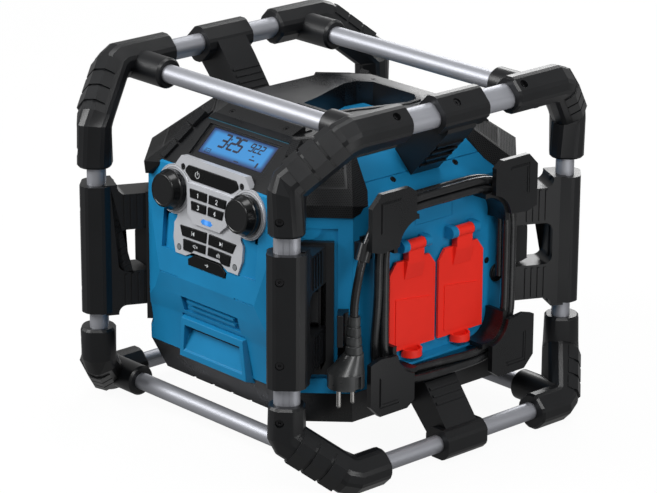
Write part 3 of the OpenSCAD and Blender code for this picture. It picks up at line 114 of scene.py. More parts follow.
class Value:
    """An output socket with the arithmetic that the node trees use."""

    def __init__(self, nodes, socket):
        self.nodes, self.socket = nodes, socket

    def __add__(self, other):
        return self.nodes.maths("ADD", self, other)

    def __sub__(self, other):
        return self.nodes.maths("SUBTRACT", self, other)

    def __rsub__(self, other):
        return self.nodes.maths("SUBTRACT", other, self)

    def __mul__(self, other):
        return self.nodes.maths("MULTIPLY", self, other)

    def __truediv__(self, other):
        return self.nodes.maths("DIVIDE", self, other)

    def __rtruediv__(self, other):
        return self.nodes.maths("DIVIDE", other, self)

    def above(self, edge, soft):
        """0 below edge, 1 above edge + soft, and a smooth step between them."""
        return self.nodes.node("ShaderNodeMapRange", {"interpolation_type": "SMOOTHSTEP"},
                               self, edge, edge + soft, 0.0, 1.0)

    def swing(self, width):
        """A noise of 0 to 1 moved to lie evenly round 0, from end to end as wide as given."""
        return (self - 0.5) * width

    __radd__, __rmul__ = __add__, __mul__


class Nodes:
    """A node tree under construction."""

    def __init__(self, tree):
        self.tree = tree

    def node(self, kind, setup, *values, output=0, **named):
        """One output of a new node; each input gets a value or a link, or a list of links."""
        made = self.tree.nodes.new(kind)
        for key, value in setup.items():
            setattr(made, key, value)
        for key, value in [*enumerate(values), *named.items()]:
            socket = made.inputs[key.replace("_", " ") if isinstance(key, str) else key]
            for each in value if isinstance(value, list) else [value]:
                self.join(socket, each)
        return Value(self, made.outputs[output])

    def join(self, socket, value):
        if isinstance(value, Value):
            self.tree.links.new(value.socket, socket)
        else:
            socket.default_value = value

    def maths(self, operation, *values):
        return self.node("ShaderNodeMath", {"operation": operation}, *values)

    def parts(self, vector):
        """The x, the y and the z of a vector."""
        split = self.node("ShaderNodeSeparateXYZ", {}, vector).socket.node
        return [Value(self, socket) for socket in split.outputs]


class Shader(Nodes):
    """A material under construction."""

    def __init__(self, name):
        self.material = bpy.data.materials.new(name)
        self.material.use_nodes = True
        super().__init__(self.material.node_tree)
        self.surface = self.tree.nodes["Principled BSDF"]
        self.place = self.node("ShaderNodeTexCoord", {}, output="Object")

    def noise(self, scale, detail, at=None):
        return self.node("ShaderNodeTexNoise", {}, Vector=at or self.place, Scale=scale, Detail=detail)

    def blend(self, factor, a, b):
        """The colour a where factor is 0 and b where it is 1."""
        a, b = (colour if isinstance(colour, Value) else (*colour, 1.0) for colour in (a, b))
        return self.node("ShaderNodeMix", {"data_type": "RGBA"}, output="Result", Factor=factor, A=a, B=b)

    def bump(self, height, strength, distance):
        return self.node("ShaderNodeBump", {}, Height=height, Strength=strength, Distance=distance)

    def finish(self, **sockets):
        """Sets the surface's sockets by their names, and gives the material."""
        for name, value in sockets.items():
            if isinstance(value, tuple):
                value = (*value, 1.0)
            self.join(self.surface.inputs[name.replace("_", " ")], value)
        return self.material


# ---- finishes


def shade(colour, share):
    """The colour made darker, or paler by a share above 1."""
    return tuple(min(1.0, c * share) for c in colour)


# how much paler the light clouds in a plastic are from handling
HANDLED = 1.0934


def moulded(name, colour, rough, grain, depth, spread=0.12, shine=0.5):
    """Spark-eroded moulded plastic: a fine even grain, its cells and depth given in metres, and a
    faint cloudiness that spreads the colour both ways."""
    s = Shader(name)
    clouds = s.noise(22.0, 2.0)
    fine = s.noise(1 / grain, 2.0)
    return s.finish(
        Base_Color=s.blend(clouds, shade(colour, 1 - spread), shade(colour, (1 + spread) * HANDLED)),
        Roughness=rough + clouds.swing(0.16) + fine.swing(0.08),
        Specular_IOR_Level=shine, Normal=s.bump(fine, 0.35, depth))


def brushed(name, colour, along):
    """Drawn aluminium tube, with fine lines along the axis of this number."""
    s = Shader(name)
    scale = tuple(25.0 if axis == along else 2600.0 for axis in range(3))
    lines = s.noise(1.0, 4.0, s.node("ShaderNodeMapping", {"vector_type": "POINT"}, s.place, Scale=scale))
    clouds = s.noise(30.0, 2.0)
    return s.finish(
        Base_Color=s.blend(lines, shade(colour, 0.88), colour), Metallic=0.65,
        Roughness=0.46 + lines.swing(0.12) + clouds.swing(0.08), Normal=s.bump(lines, 0.15, 0.00003))


def steel(name, colour, rough):
    """Bare metal with fine scratches every way."""
    s = Shader(name)
    scratch = s.noise(900.0, 4.0)
    return s.finish(
        Base_Color=s.blend(scratch, shade(colour, 0.8), colour), Metallic=1.0,
        Roughness=rough + scratch.swing(0.2), Normal=s.bump(scratch, 0.2, 0.00003))


def coated(name, colour, rough, metal=0.0):
    """Paint or coating with a faint orange peel."""
    s = Shader(name)
    peel = s.noise(420.0, 2.0)
    clouds = s.noise(35.0, 2.0)
    return s.finish(
        Base_Color=s.blend(clouds, shade(colour, 0.93), shade(colour, 1.06)), Metallic=metal,
        Roughness=rough + peel.swing(0.12), Normal=s.bump(peel, 0.2, 0.00006))


def rubber(name, colour, rough):
    """Cord sheath: smooth rubber with faint drawn lines and dust."""
    s = Shader(name)
    fine = s.noise(1500.0, 3.0)
    dust = s.noise(60.0, 4.0)
    return s.finish(
        Base_Color=s.blend(dust.above(0.45, 0.3), colour, shade(colour, 1.7)),
        Roughness=rough + dust.swing(0.2), Normal=s.bump(fine, 0.25, 0.00008))


# a drawn hole's radius and soft edge in cells, and the cells, of two rows each, in one pitch up
HOLE_SHARE, HOLE_SOFT, ROW_SHARE = 0.24, 0.1, 0.577


def perforated(name, colour, rough):
    """Fine round holes on a staggered grid over every face, drawn in the "flat" UV map as near-black,
    dull spots of painted shade.
    """
    s = Shader(name)
    flat = s.node("ShaderNodeUVMap", {"uv_map": "flat"})
    u, v = (part * (1 / settings().pitch) for part in s.parts(flat)[:2])

    def from_hole(shift):
        """The distance to the nearest hole of one half of the staggered grid."""
        across = s.maths("FRACT", u + shift) - 0.5
        up = s.maths("FRACT", v * ROW_SHARE + shift) - 0.5
        return s.maths("SQRT", across * across + up * up * 3.0)

    # the holes are near-black and without shine: painted shade inside them
    solid = s.maths("MINIMUM", from_hole(0.0), from_hole(0.5)).above(HOLE_SHARE, HOLE_SOFT)
    clouds = s.noise(22.0, 2.0)
    return s.finish(
        Base_Color=s.blend(solid, shade(colour, 0.05), colour),
        Roughness=0.95 - solid * (0.95 - rough) + clouds.swing(0.1),
        Specular_IOR_Level=0.25, Normal=s.bump(solid, 0.6, 0.0004))


def lit_glass(name, middle, edge, half_w, low, high):
    """Back-lit display glass that darkens to its border."""
    s = Shader(name)
    x, _, z = s.parts(s.place)
    beside = (half_w - s.maths("ABSOLUTE", x)).above(0.0, 0.008)
    inside = beside * (z - low).above(0.0, 0.005) * (high - z).above(0.0, 0.004)
    lit = s.blend(s.noise(2600.0, 1.0), middle, shade(middle, 0.94))
    return s.finish(
        Base_Color=(0.01, 0.02, 0.04), Emission_Color=s.blend(inside, edge, lit), Emission_Strength=1.0,
        Roughness=0.35, Coat_Weight=0.2)


def glowing(name, colour, strength, middle=None):
    """A glowing colour, for a small lamp or for a painted glow; with a middle, it is palest there and
    falls off to the colour at 5 mm.
    """
    s = Shader(name)
    glow = s.blend(s.noise(900.0, 1.0), colour, shade(colour, 0.85))
    if middle is not None:
        away = s.node("ShaderNodeVectorMath", {"operation": "DISTANCE"}, s.place, tuple(middle), output=1)
        glow = s.blend(away.above(0.001, 0.004), tuple(min(1.0, c * 1.6 + 0.12) for c in colour), glow)
    return s.finish(
        Base_Color=shade(colour, 0.5), Emission_Color=glow, Emission_Strength=strength, Roughness=0.3)


def board(name, colour):
    """Circuit board lacquer with pale pads."""
    s = Shader(name)
    pads = s.node("ShaderNodeTexVoronoi", {}, Vector=s.place, Scale=320.0)
    return s.finish(Base_Color=s.blend(pads.above(0.35, 0.1), (0.5, 0.42, 0.2), colour), Roughness=0.4)


def mixed_finishes():
    """Every material, made from the panel's colours, with the slot of the pieces that wear it."""
    look = settings()
    blue, black, red = tuple(look.blue), tuple(look.black), tuple(look.red)
    silver, alloy = tuple(look.silver), tuple(look.alloy)
    glass_z = [on_slope(0, v, GLASS_LIFT).z for v in GLASS_V]
    lamp_middle = sum(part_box("status_light"), Vector()) / 2
    return {
        "blue": (moulded("blue_moulding", blue, rough=0.33, grain=0.0009, depth=0.00003, shine=0.18),
                 "blue_plastic"),
        "black": (moulded("black_moulding", black, rough=0.3, grain=0.0011, depth=0.00003, spread=0.15,
                          shine=0.42), "black_plastic"),
        "cage": (moulded("cage_moulding", black, rough=0.34, grain=0.0016, depth=0.000015, shine=0.4),
                 "black_plastic"),
        # also worn by the painted shade strokes round the knob rings
        "inner": (moulded("inner_black", shade(black, 0.6), rough=0.6, grain=0.001, depth=0.00006),
                  "black_plastic"),
        "red": (moulded("red_moulding", red, rough=0.36, grain=0.0009, depth=0.00004, spread=0.06,
                        shine=0.25), "red_plastic"),
        "fascia": (coated("silver_paint", silver, rough=0.36, metal=0.25), "silver_plastic"),
        "keys": (moulded("key_rubber", shade(black, 0.4), rough=0.26, grain=0.0009, depth=0.00002,
                         shine=0.2), "button_rubber"),
        "knob": (moulded("knob_black", shade(black, 0.6), rough=0.22, grain=0.0009, depth=0.00002,
                         shine=0.4), "knob_plastic"),
        "marks": (coated("pale_print", (0.72, 0.74, 0.76), rough=0.6), "button_rubber"),
        "plugs": (coated("grey_plugs", (0.16, 0.17, 0.18), rough=0.45), "silver_plastic"),
        "screws": (coated("black_screws", (0.02, 0.02, 0.022), rough=0.26, metal=0.5), "screw_steel"),
        "pins": (steel("nickel_pins", (0.66, 0.65, 0.63), rough=0.24), "pin_nickel"),
        "cord": (rubber("cord_rubber", (0.011, 0.0115, 0.0125), rough=0.24), "cord_rubber"),
        "plug": (rubber("plug_rubber", (0.032, 0.034, 0.035), rough=0.3), "cord_rubber"),
        "mesh": (coated("perforated_steel", shade(black, 1.5), rough=0.44), "grille_steel"),
        "cap": (perforated("speaker_cap_moulding", shade(black, 1.3), rough=0.46), "black_plastic"),
        # this near-black finish is the real cloth behind the grilles, and also the painted shadow strip
        # of the sound port
        "cloth": (moulded("cloth_and_painted_shadow", (0.004, 0.004, 0.005), rough=0.9, grain=0.0006, depth=0.0001),
                  "grille_steel"),
        "post": (brushed("upright_tube", alloy, along=2), "tube"),
        "rail": (brushed("side_tube", alloy, along=1), "tube"),
        "cross": (brushed("cross_tube", alloy, along=0), "tube"),
        "screen": (lit_glass("lit_display", (0.03, 0.265, 0.63), (0.002, 0.012, 0.09), GLASS_HALF_M,
                             *glass_z), "lens"),
        "segments": (coated("display_segments", (0.003, 0.006, 0.025), rough=0.5), "lens"),
        "lamp": (glowing("lamp_glow", (0.03, 0.2, 0.6), strength=0.9, middle=lamp_middle), "lamp"),
        # painted glow: the teal trim line over the display glows, though no lamp lies behind it
        "painted_glow": (glowing("trim_painted_glow", (0.005, 0.075, 0.12), strength=0.6), "lamp"),
        # these three are for CAD nodes that stay, and have their slots
        "hinge": (steel("ground_pins", (0.6, 0.6, 0.62), rough=0.35), None),
        "board": (board("green_lacquer", (0.01, 0.1, 0.04)), None),
        "cone": (moulded("speaker_cone", (0.02, 0.02, 0.021), rough=0.6, grain=0.001, depth=0.0001),
                 None),
    }


FINISHES = {}


def finish_of(name):
    """A finish by its name: its material and its slot."""
    if not FINISHES:
        FINISHES.update(mixed_finishes())
    return FINISHES[name]


# ---- mesh helpers

# points closer than this are one, and faces that turn by less than this are flat
MERGE_M, FLAT = 2e-5, math.radians(0.7)
# where a grille's solids are told apart, only points this close are one
TOUCH_M = 1e-6
# the length below which a line across a face is no level line, because the face lies flat
LYING = 0.05


def into_scene(name, data):
    made = bpy.data.objects.new(name, data)
    bpy.context.scene.collection.objects.link(made)
    return made


def from_faces(name, points, faces):
    mesh = bpy.data.meshes.new(name)
    mesh.from_pydata([tuple(p) for p in points], [], faces)
    mesh.validate()
    return into_scene(name, mesh)


def walls(first, outlines, sides, closed=False):
    """The faces between outlines of so many sides, whose points follow one another from first."""
    total, faces = outlines * sides, []
    for here in range(0, total if closed else total - sides, sides):
        after = (here + sides) % total
        for k in range(sides):
            j = (k + 1) % sides
            faces.append([first + here + k, first + here + j, first + after + j, first + after + k])
    return faces


def shifted(ring, steps):
    """A closed ring of things that starts so many steps later."""
    return ring[steps:] + ring[:steps]


def arc(cx, cy, radius, start, stop, count):
    """Points at even angles round a centre, from start to stop in degrees."""
    angles = [math.radians(start + (stop - start) * i / count) for i in range(count + 1)]
    return [(cx + radius * math.cos(angle), cy + radius * math.sin(angle)) for angle in angles]


def apply_modifiers(made):
    """The piece with its modifiers baked into a plain mesh."""
    bpy.context.view_layer.update()
    graph = bpy.context.evaluated_depsgraph_get()
    mesh = bpy.data.meshes.new_from_object(made.evaluated_get(graph), depsgraph=graph)
    made.modifiers.clear()
    old, made.data = made.data, mesh
    name = made.name
    bpy.data.meshes.remove(old)
    mesh.name = name
    return made


def round_edges(made, radius, segments, angle=30.0, miter="MITER_SHARP"):
    """Adds a bevel that rounds the edges sharper than an angle, by a radius in millimetres."""
    edge = made.modifiers.new("rounded edges", "BEVEL")
    edge.width, edge.segments, edge.miter_outer = radius * MM, segments, miter
    edge.limit_method, edge.angle_limit = "ANGLE", math.radians(angle)
    edge.harden_normals = True


def attach(made, body, finish, *nodes):
    """Gives a piece its finish's material and its body, and hides the CAD nodes that it stands for."""
    material, slot = finish_of(finish)
    made.data.materials.clear()
    made.data.materials.append(material)
    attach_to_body(made, body)
    if nodes:
        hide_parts(*nodes)
    return made


def rounded(node, finish, radius, segments=2, angle=16.0):
    """A copy of a CAD node with its edges rounded, in place of the node."""
    mesh = frame["nodes"][node].data.copy()
    work = bmesh.new()
    work.from_mesh(mesh)
    bmesh.ops.remove_doubles(work, verts=work.verts, dist=MERGE_M)
    bmesh.ops.dissolve_degenerate(work, edges=work.edges, dist=MERGE_M)
    bmesh.ops.dissolve_limit(work, angle_limit=FLAT, verts=work.verts, edges=work.edges)
    for face in work.faces:
        face.smooth = True
    work.to_mesh(mesh)
    work.free()
    made = into_scene(node + "_shape", mesh)
    round_edges(made, radius, segments, angle, "MITER_ARC" if segments > 2 else "MITER_SHARP")
    made.modifiers.new("even shading", "WEIGHTED_NORMAL")
    apply_modifiers(made)
    return attach(made, frame["nodes"][node]["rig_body"], finish, node)


def flat_map(made):
    """A UV map in metres, laid flat on each face from its own level line and slope line."""
    mesh = made.data
    layer = mesh.uv_layers.new(name="flat")
    for face in mesh.polygons:
        level = LEVEL_UP.cross(face.normal)
        level = level.normalized() if level.length > LYING else Vector((1, 0, 0))
        rise = face.normal.cross(level)
        for corner in face.loop_indices:
            place = mesh.vertices[mesh.loops[corner].vertex_index].co
            layer.data[corner].uv = place.dot(level), place.dot(rise)


def solids_of(node):
    """The faces of each separate solid of a CAD node, in its own order, and the mesh of them."""
    work = bmesh.new()
    work.from_mesh(frame["nodes"][node].data)
    bmesh.ops.remove_doubles(work, verts=work.verts, dist=TOUCH_M)
    seen, groups = set(), []
    for first in work.faces:
        if first in seen:
            continue
        seen.add(first)
        # the group grows at its end while it is walked
        group = [first]
        for face in group:
            for other in (other for edge in face.edges for other in edge.link_faces):
                if other not in seen:
                    seen.add(other)
                    group.append(other)
        groups.append(group)
    return work, groups


class PlainSheet:
    """Collects flat raised marks on a face, and makes one piece of them."""

    # how far a stroke reaches past its ends, in half widths
    reach = 0.7

    def __init__(self, place, lift, height):
        self.place, self.lift, self.height = place, lift, height
        self.points, self.faces = [], []

    def polygon(self, outline):
        """An anticlockwise outline, in millimetres on the face."""
        n, start = len(outline), len(self.points)
        for lift in (self.lift, self.lift + self.height):
            self.points += [self.place(u, v, lift) for u, v in outline]
        self.faces.append([start + n + i for i in range(n)])
        self.faces.append([start + n - 1 - i for i in range(n)])
        self.faces += walls(start, 2, n)

    def stroke(self, line, width):
        """A ribbon of even width along a line of points."""
        line = [Vector(p) for p in line]
        for a, b in zip(line, line[1:]):
            along = (b - a).normalized() * width / 2
            side = Vector((-along.y, along.x))
            a, b = a - along * self.reach, b + along * self.reach
            self.polygon([a - side, b - side, b + side, a + side])

    def piece(self, name):
        return from_faces(name, self.points, self.faces)


# ---- perforated sheet

SHEET_T, SHEET_INSET = 0.0007, 1.6 * MM
RIM_W, RIM_H, CLOTH_DEPTH = 2.6 * MM, 1.3 * MM, 1.25 * MM
# a plate's outline has no edge shorter than this, and no corner that turns by less than this
SHORT_M, BEND = 0.5 * MM, 0.05
# the ray that tells whether a cell lies inside: where it starts over the cell, and its length
RAY_START_M, RAY_LENGTH_M = 0.01, 0.1
# the field of cells, larger than any plate, and the height of a row in pitches
FIELD_W, FIELD_H, ROW_RISE = 82 * MM, 100 * MM, math.sqrt(3) / 2


def sheet_group():
    """Geometry nodes that fill a flat outline with staggered cells, each with a round hole."""
    group = bpy.data.node_groups.new("Perforated sheet", "GeometryNodeTree")
    look = settings()
    # an odd number of rows, so that one is in the middle
    half_rows = int(FIELD_H / (look.pitch * ROW_RISE) / 2)
    face = group.interface
    face.new_socket("Geometry", in_out="INPUT", socket_type="NodeSocketGeometry")
    for name, kind, value in (
            ("Pitch", "Float", look.pitch), ("Hole", "Float", look.hole), ("Thickness", "Float", SHEET_T),
            ("Columns", "Int", int(FIELD_W / look.pitch)), ("Rows", "Int", 2 * half_rows + 1)):
        face.new_socket(name, in_out="INPUT", socket_type="NodeSocket" + kind).default_value = value
    face.new_socket("Material", in_out="INPUT", socket_type="NodeSocketMaterial")
    face.new_socket("Geometry", in_out="OUTPUT", socket_type="NodeSocketGeometry")

    g = Nodes(group)
    given = {socket.name: Value(g, socket) for socket in group.nodes.new("NodeGroupInput").outputs}
    pitch, columns, rows = given["Pitch"], given["Columns"], given["Rows"]
    rise = pitch * ROW_RISE
    grid = g.node("GeometryNodeMeshGrid", {}, Size_X=(columns - 1.0) * pitch, Size_Y=(rows - 1.0) * rise,
                  Vertices_X=columns, Vertices_Y=rows)
    place = g.node("GeometryNodeInputPosition", {})
    row = g.maths("ROUND", g.parts(place)[1] / rise)
    odd = g.maths("FLOORED_MODULO", row, 2.0) * (pitch * 0.5)
    staggered = g.node("GeometryNodeSetPosition", {}, Geometry=grid,
                       Offset=g.node("ShaderNodeCombineXYZ", {}, X=odd))
    above = g.node("ShaderNodeVectorMath", {"operation": "ADD"}, place, (0.0, 0.0, RAY_START_M))
    inside = g.node("GeometryNodeRaycast", {}, output="Is Hit", Target_Geometry=given["Geometry"],
                    Source_Position=above, Ray_Direction=(0.0, 0.0, -1.0), Ray_Length=RAY_LENGTH_M)
    kept = g.node("GeometryNodeSeparateGeometry", {}, Geometry=staggered, Selection=inside)

    rim = g.node("GeometryNodeCurvePrimitiveCircle", {}, Resolution=6, Radius=pitch / math.sqrt(3))
    rim = g.node("GeometryNodeTransform", {}, Geometry=rim, Rotation=(0.0, 0.0, math.pi / 6))
    hole = g.node("GeometryNodeCurvePrimitiveCircle", {}, Resolution=8, Radius=given["Hole"] * 0.5)
    top = g.node("GeometryNodeFillCurve", {}, g.node("GeometryNodeJoinGeometry", {}, [rim, hole]))
    ring = g.node("GeometryNodeCurveToMesh", {}, hole)
    wall = g.node("GeometryNodeExtrudeMesh", {"mode": "EDGES"}, ring, Offset=(0.0, 0.0, -1.0),
                  Offset_Scale=given["Thickness"])
    cell = g.node("GeometryNodeJoinGeometry", {}, [top, g.node("GeometryNodeFlipFaces", {}, wall)])
    spread = g.node("GeometryNodeInstanceOnPoints", {}, Points=kept, Instance=cell)
    real = g.node("GeometryNodeRealizeInstances", {}, spread)
    done = g.node("GeometryNodeSetMaterial", {}, Geometry=real, Material=given["Material"])
    g.join(group.nodes.new("NodeGroupOutput").inputs[0], done)
    return group


def meet(first, second):
    """The point where two lines of a plane cross."""
    (a, b), (c, d) = first, second
    along, across = b - a, d - c
    return a + along * ((c - a).cross(across) / along.cross(across))


def inset_outline(outline, gap):
    """A convex anticlockwise outline moved inwards by a gap."""
    lines = []
    for a, b in zip(outline, shifted(outline, 1)):
        inward = Vector((a.y - b.y, b.x - a.x)).normalized() * gap
        lines.append((a + inward, b + inward))
    return [meet(*pair) for pair in zip(shifted(lines, -1), lines)]


def plate_outline(flat):
    """The true corners of a plate round its flattened points, anticlockwise."""
    hull = [flat[i] for i in geometry.convex_hull_2d(flat)]
    hull = [b for a, b in zip(shifted(hull, -1), hull) if (b - a).length > SHORT_M]
    outline = [b for a, b, c in zip(shifted(hull, -1), hull, shifted(hull, 1))
               if abs((b - a).normalized().cross((c - b).normalized())) > BEND]
    if sum(a.cross(b) for a, b in zip(outline, shifted(outline, 1))) < 0:
        outline.reverse()
    return outline


def flat_piece(name, outline, z):
    return from_faces(name, [(p.x, p.y, z) for p in outline], [list(range(len(outline)))])


def perforated_plate(name, solid, group):
    """A perforated sheet in a plain rim at the outer face of a CAD grille plate, and its cloth."""
    places = [v.co for face in solid for v in face.verts]
    outward = max(solid, key=lambda face: face.calc_area()).normal.copy()
    middle = sum(places, Vector()) / len(places)
    if outward.dot(Vector((middle.x, middle.y, 0.0))) < 0:
        outward.negate()
    level = LEVEL_UP.cross(outward).normalized()
    rise = outward.cross(level)
    outline = plate_outline([Vector((place.dot(level), place.dot(rise))) for place in places])
    centre = sum(outline, Vector((0, 0))) / len(outline)
    outline = [p - centre for p in outline]
    inner = inset_outline(outline, RIM_W)
    field = flat_piece(name, inset_outline(outline, SHEET_INSET), 0.0)
    maker = field.modifiers.new("perforation", "NODES")
    maker.node_group = group
    inputs = [item for item in group.interface.items_tree if item.in_out == "INPUT"]
    wearer = next(item.identifier for item in inputs if item.name == "Material")
    maker[wearer] = finish_of("mesh")[0]
    apply_modifiers(field)
    work = bmesh.new()
    work.from_mesh(field.data)
    rings = [[work.verts.new((p.x, p.y, z)) for p in points]
             for points, z in ((outline, -RIM_H), (outline, 0.0), (inner, 0.0), (inner, -RIM_H))]
    for below, over in zip(rings, rings[1:]):
        for corners in zip(below, shifted(below, 1), shifted(over, 1), over):
            work.faces.new(corners)
    work.to_mesh(field.data)
    work.free()
    cloth = flat_piece(name + "_cloth", inner, -CLOTH_DEPTH)
    stand = Matrix((level, rise, outward)).transposed().to_4x4()
    stand.translation = (level * centre.x + rise * centre.y
                         + outward * max(place.dot(outward) for place in places))
    for made in (field, cloth):
        made.data.transform(stand)
    return field, cloth


class Build:
    """What every operator of the radio shares."""

    bl_options = {"REGISTER", "UNDO"}


# ---- stage and camera

# the camera's angles, what it looks at and from how far, how far it is moved aside, and its lens
AZIMUTH, ELEVATION, ROLL = (math.radians(angle) for angle in (47.563, 18.826, 0.286))
AIM, DISTANCE, SHIFT_RIGHT, SHIFT_UP = Vector((0, 0, 0.186)), 3.27975, -0.00345, -0.00675
FOCAL_PX, PICTURE_W_PX, SENSOR_MM = 3090.45, 657, 36.0

# how much of the white background a mirror sees
MIRRORED = 0.22
# the part of the floor, beside the outlets, that throws light up, and the width of its soft edges
BOUNCE_FROM_X, BOUNCE_Y, BOUNCE_HALF_W, EDGE_X, EDGE_Y = 0.35, -0.05, 0.25, 0.15, 0.12
# the light of the floor outside and inside that part, and half the floor's width
FLOOR_DIM, FLOOR_BRIGHT, FLOOR_HALF_W = 0.1, 1.7, 9

LAMP_AIM = Vector((0, 0, 0.2))
# name, place, size and share of the key light's power
LAMPS = (("key", (-1.4, -2.3, 1.9), (1.5, 1.5), 1.0),
         ("front", (2.0, -1.9, 2.9), (1.3, 1.3), 0.58),
         ("side", (2.6, 0.5, 0.8), (0.5, 1.4), 0.22),
         ("top", (0.1, 0.5, 2.5), (1.0, 1.2), 0.24),
         ("back", (-1.4, 2.2, 1.5), (1.2, 1.2), 0.3))


def make_camera():
    back = Vector((math.sin(AZIMUTH) * math.cos(ELEVATION), -math.cos(AZIMUTH) * math.cos(ELEVATION),
                   math.sin(ELEVATION)))
    level = Vector((math.cos(AZIMUTH), math.sin(AZIMUTH), 0.0))
    rise = back.cross(level)
    place = AIM + back * DISTANCE + level * SHIFT_RIGHT + rise * SHIFT_UP
    right = level * math.cos(ROLL) + rise * math.sin(ROLL)
    up = rise * math.cos(ROLL) - level * math.sin(ROLL)
    data = bpy.data.cameras.new("camera")
    data.lens, data.sensor_width = FOCAL_PX / PICTURE_W_PX * SENSOR_MM, SENSOR_MM
    data.sensor_fit = "HORIZONTAL"
    data.clip_start, data.clip_end = 0.1, 60.0
    made = into_scene("camera", data)
    made.matrix_world = Matrix.Translation(place) @ Matrix((right, up, back)).transposed().to_4x4()
    return made


def background_share(nodes):
    """How much of the white background each kind of ray sees."""
    camera, mirror, glass = (nodes.node("ShaderNodeLightPath", {}, output=kind)
                             for kind in ("Is Camera Ray", "Is Glossy Ray", "Is Transmission Ray"))
    return camera + mirror * MIRRORED + glass


def make_floor():
    """A floor that looks white, takes the radio's shadow and throws light up beside the outlets."""
    half = FLOOR_HALF_W
    floor = from_faces("floor", [(-half, -half, 0), (half, -half, 0), (half, half, 0), (-half, half, 0)],
                       [(0, 1, 2, 3)])
    s = Shader("pale_floor")
    s.finish(Base_Color=s.blend(s.noise(3.0, 2.0), (0.9, 0.9, 0.9), (0.93, 0.93, 0.93)), Roughness=0.7)
    x, y, _ = s.parts(s.place)
    off_line = s.maths("ABSOLUTE", y - BOUNCE_Y)
    card = x.above(BOUNCE_FROM_X, EDGE_X) * (BOUNCE_HALF_W - off_line).above(0.0, EDGE_Y)
    dim, bright, white = (s.node("ShaderNodeEmission", {}, Color=WHITE, Strength=strength)
                          for strength in (FLOOR_DIM, FLOOR_BRIGHT, 1.0))
    bounce = s.node("ShaderNodeMixShader", {}, card, dim, bright)
    seen = s.node("ShaderNodeMixShader", {}, 0.95, Value(s, s.surface.outputs[0]), white)
    both = s.node("ShaderNodeMixShader", {}, background_share(s), bounce, seen)
    s.join(s.tree.nodes["Material Output"].inputs["Surface"], both)
    floor.data.materials.append(s.material)


def make_world():
    """A white background, and the panel's even fill light."""
    world = bpy.data.worlds.new("studio")
    world.use_nodes = True
    w = Nodes(world.node_tree)
    w.tree.nodes.clear()
    soft, white = (w.node("ShaderNodeBackground", {}, Color=WHITE, Strength=strength)
                   for strength in (settings().fill, 1.0))
    mixed = w.node("ShaderNodeMixShader", {}, background_share(w), soft, white)
    w.join(w.tree.nodes.new("ShaderNodeOutputWorld").inputs["Surface"], mixed)
    return world


class RADIO_OT_stage(Build, bpy.types.Operator):
    """Make the camera, the pale floor, the backdrop and the soft lights"""

    bl_idname = "radio.stage"
    bl_label = "Stage"

    def execute(self, context):
        context.scene.camera = make_camera()
        make_floor()
        context.scene.world = make_world()
        for name, place, size, share in LAMPS:
            data = bpy.data.lights.new(name, "AREA")
            data.shape, data.size, data.size_y = "RECTANGLE", *size
            data.energy = settings().key * share
            made = into_scene(name, data)
            made.location = place
            made.rotation_euler = (LAMP_AIM - Vector(place)).to_track_quat("-Z", "Y").to_euler()
        context.scene.view_settings.view_transform = "Standard"
        return {"FINISHED"}


# ---- cord

CORD_D, CORD_GAP = 8.8, 0.1
COIL_LOW, COIL_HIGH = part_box("cord_coil")
COIL_MID, COIL_HALF = (COIL_LOW + COIL_HIGH) / 2 / MM, (COIL_HIGH - COIL_LOW) / 2 / MM
# the corners' radii of an inner and an outer turn
TURN_R = (36.8, 45.6)
# the cells of the bundle that the turns fill, as layer out of the panel and ring, 1 the outer one
CELLS = ((0, 0), (1, 0), (1, 1), (0, 1))
# the share of a ring where the cord starts, its turns, and the points that each turn gets
FIRST_SHARE, TURNS, TURN_POINTS = 0.475, 3.365, 64
# a turn moves to its next cell from this share on, each one earlier by a step, over this length
MOVE_AT, MOVE_STEP, MOVE_LENGTH = 0.7, 0.1, 0.16
# the cord's way from the last turn down to the plug
TAIL = [(165, -73, 280), (165, -84, 273.5), (166, -94, 265), (167, -103, 253.5), (168, -110, 240),
        (169, -115.5, 226), (170, -120, 213), (170, -123, 200), (170, -124.7, 188), (170, -125, 177)]


def ring_point(half_y, half_z, radius, share):
    """A point of a rounded rectangle, anticlockwise seen from outside the panel, from the middle
    of its front side downwards; share runs from 0 to 1."""
    y, z = half_y - radius, half_z - radius
    quarter = math.pi * radius / 2
    left = (share % 1.0) * (4 * (y + z) + 4 * quarter)
    legs = [(z, "line", (-half_y, 0), (0, -1)), (quarter, "arc", (-y, -z), math.pi),
            (2 * y, "line", (-y, -half_z), (1, 0)), (quarter, "arc", (y, -z), 1.5 * math.pi),
            (2 * z, "line", (half_y, -z), (0, 1)), (quarter, "arc", (y, z), 0.0),
            (2 * y, "line", (y, half_z), (-1, 0)), (quarter, "arc", (-y, z), 0.5 * math.pi),
            (z, "line", (-half_y, z), (0, -1))]
    for length, kind, start, way in legs:
        if left <= length + 1e-9:
            if kind == "line":
                return start[0] + way[0] * left, start[1] + way[1] * left
            angle = way + left / radius
            return start[0] + radius * math.cos(angle), start[1] + radius * math.sin(angle)
        left -= length
    return -half_y, 0.0


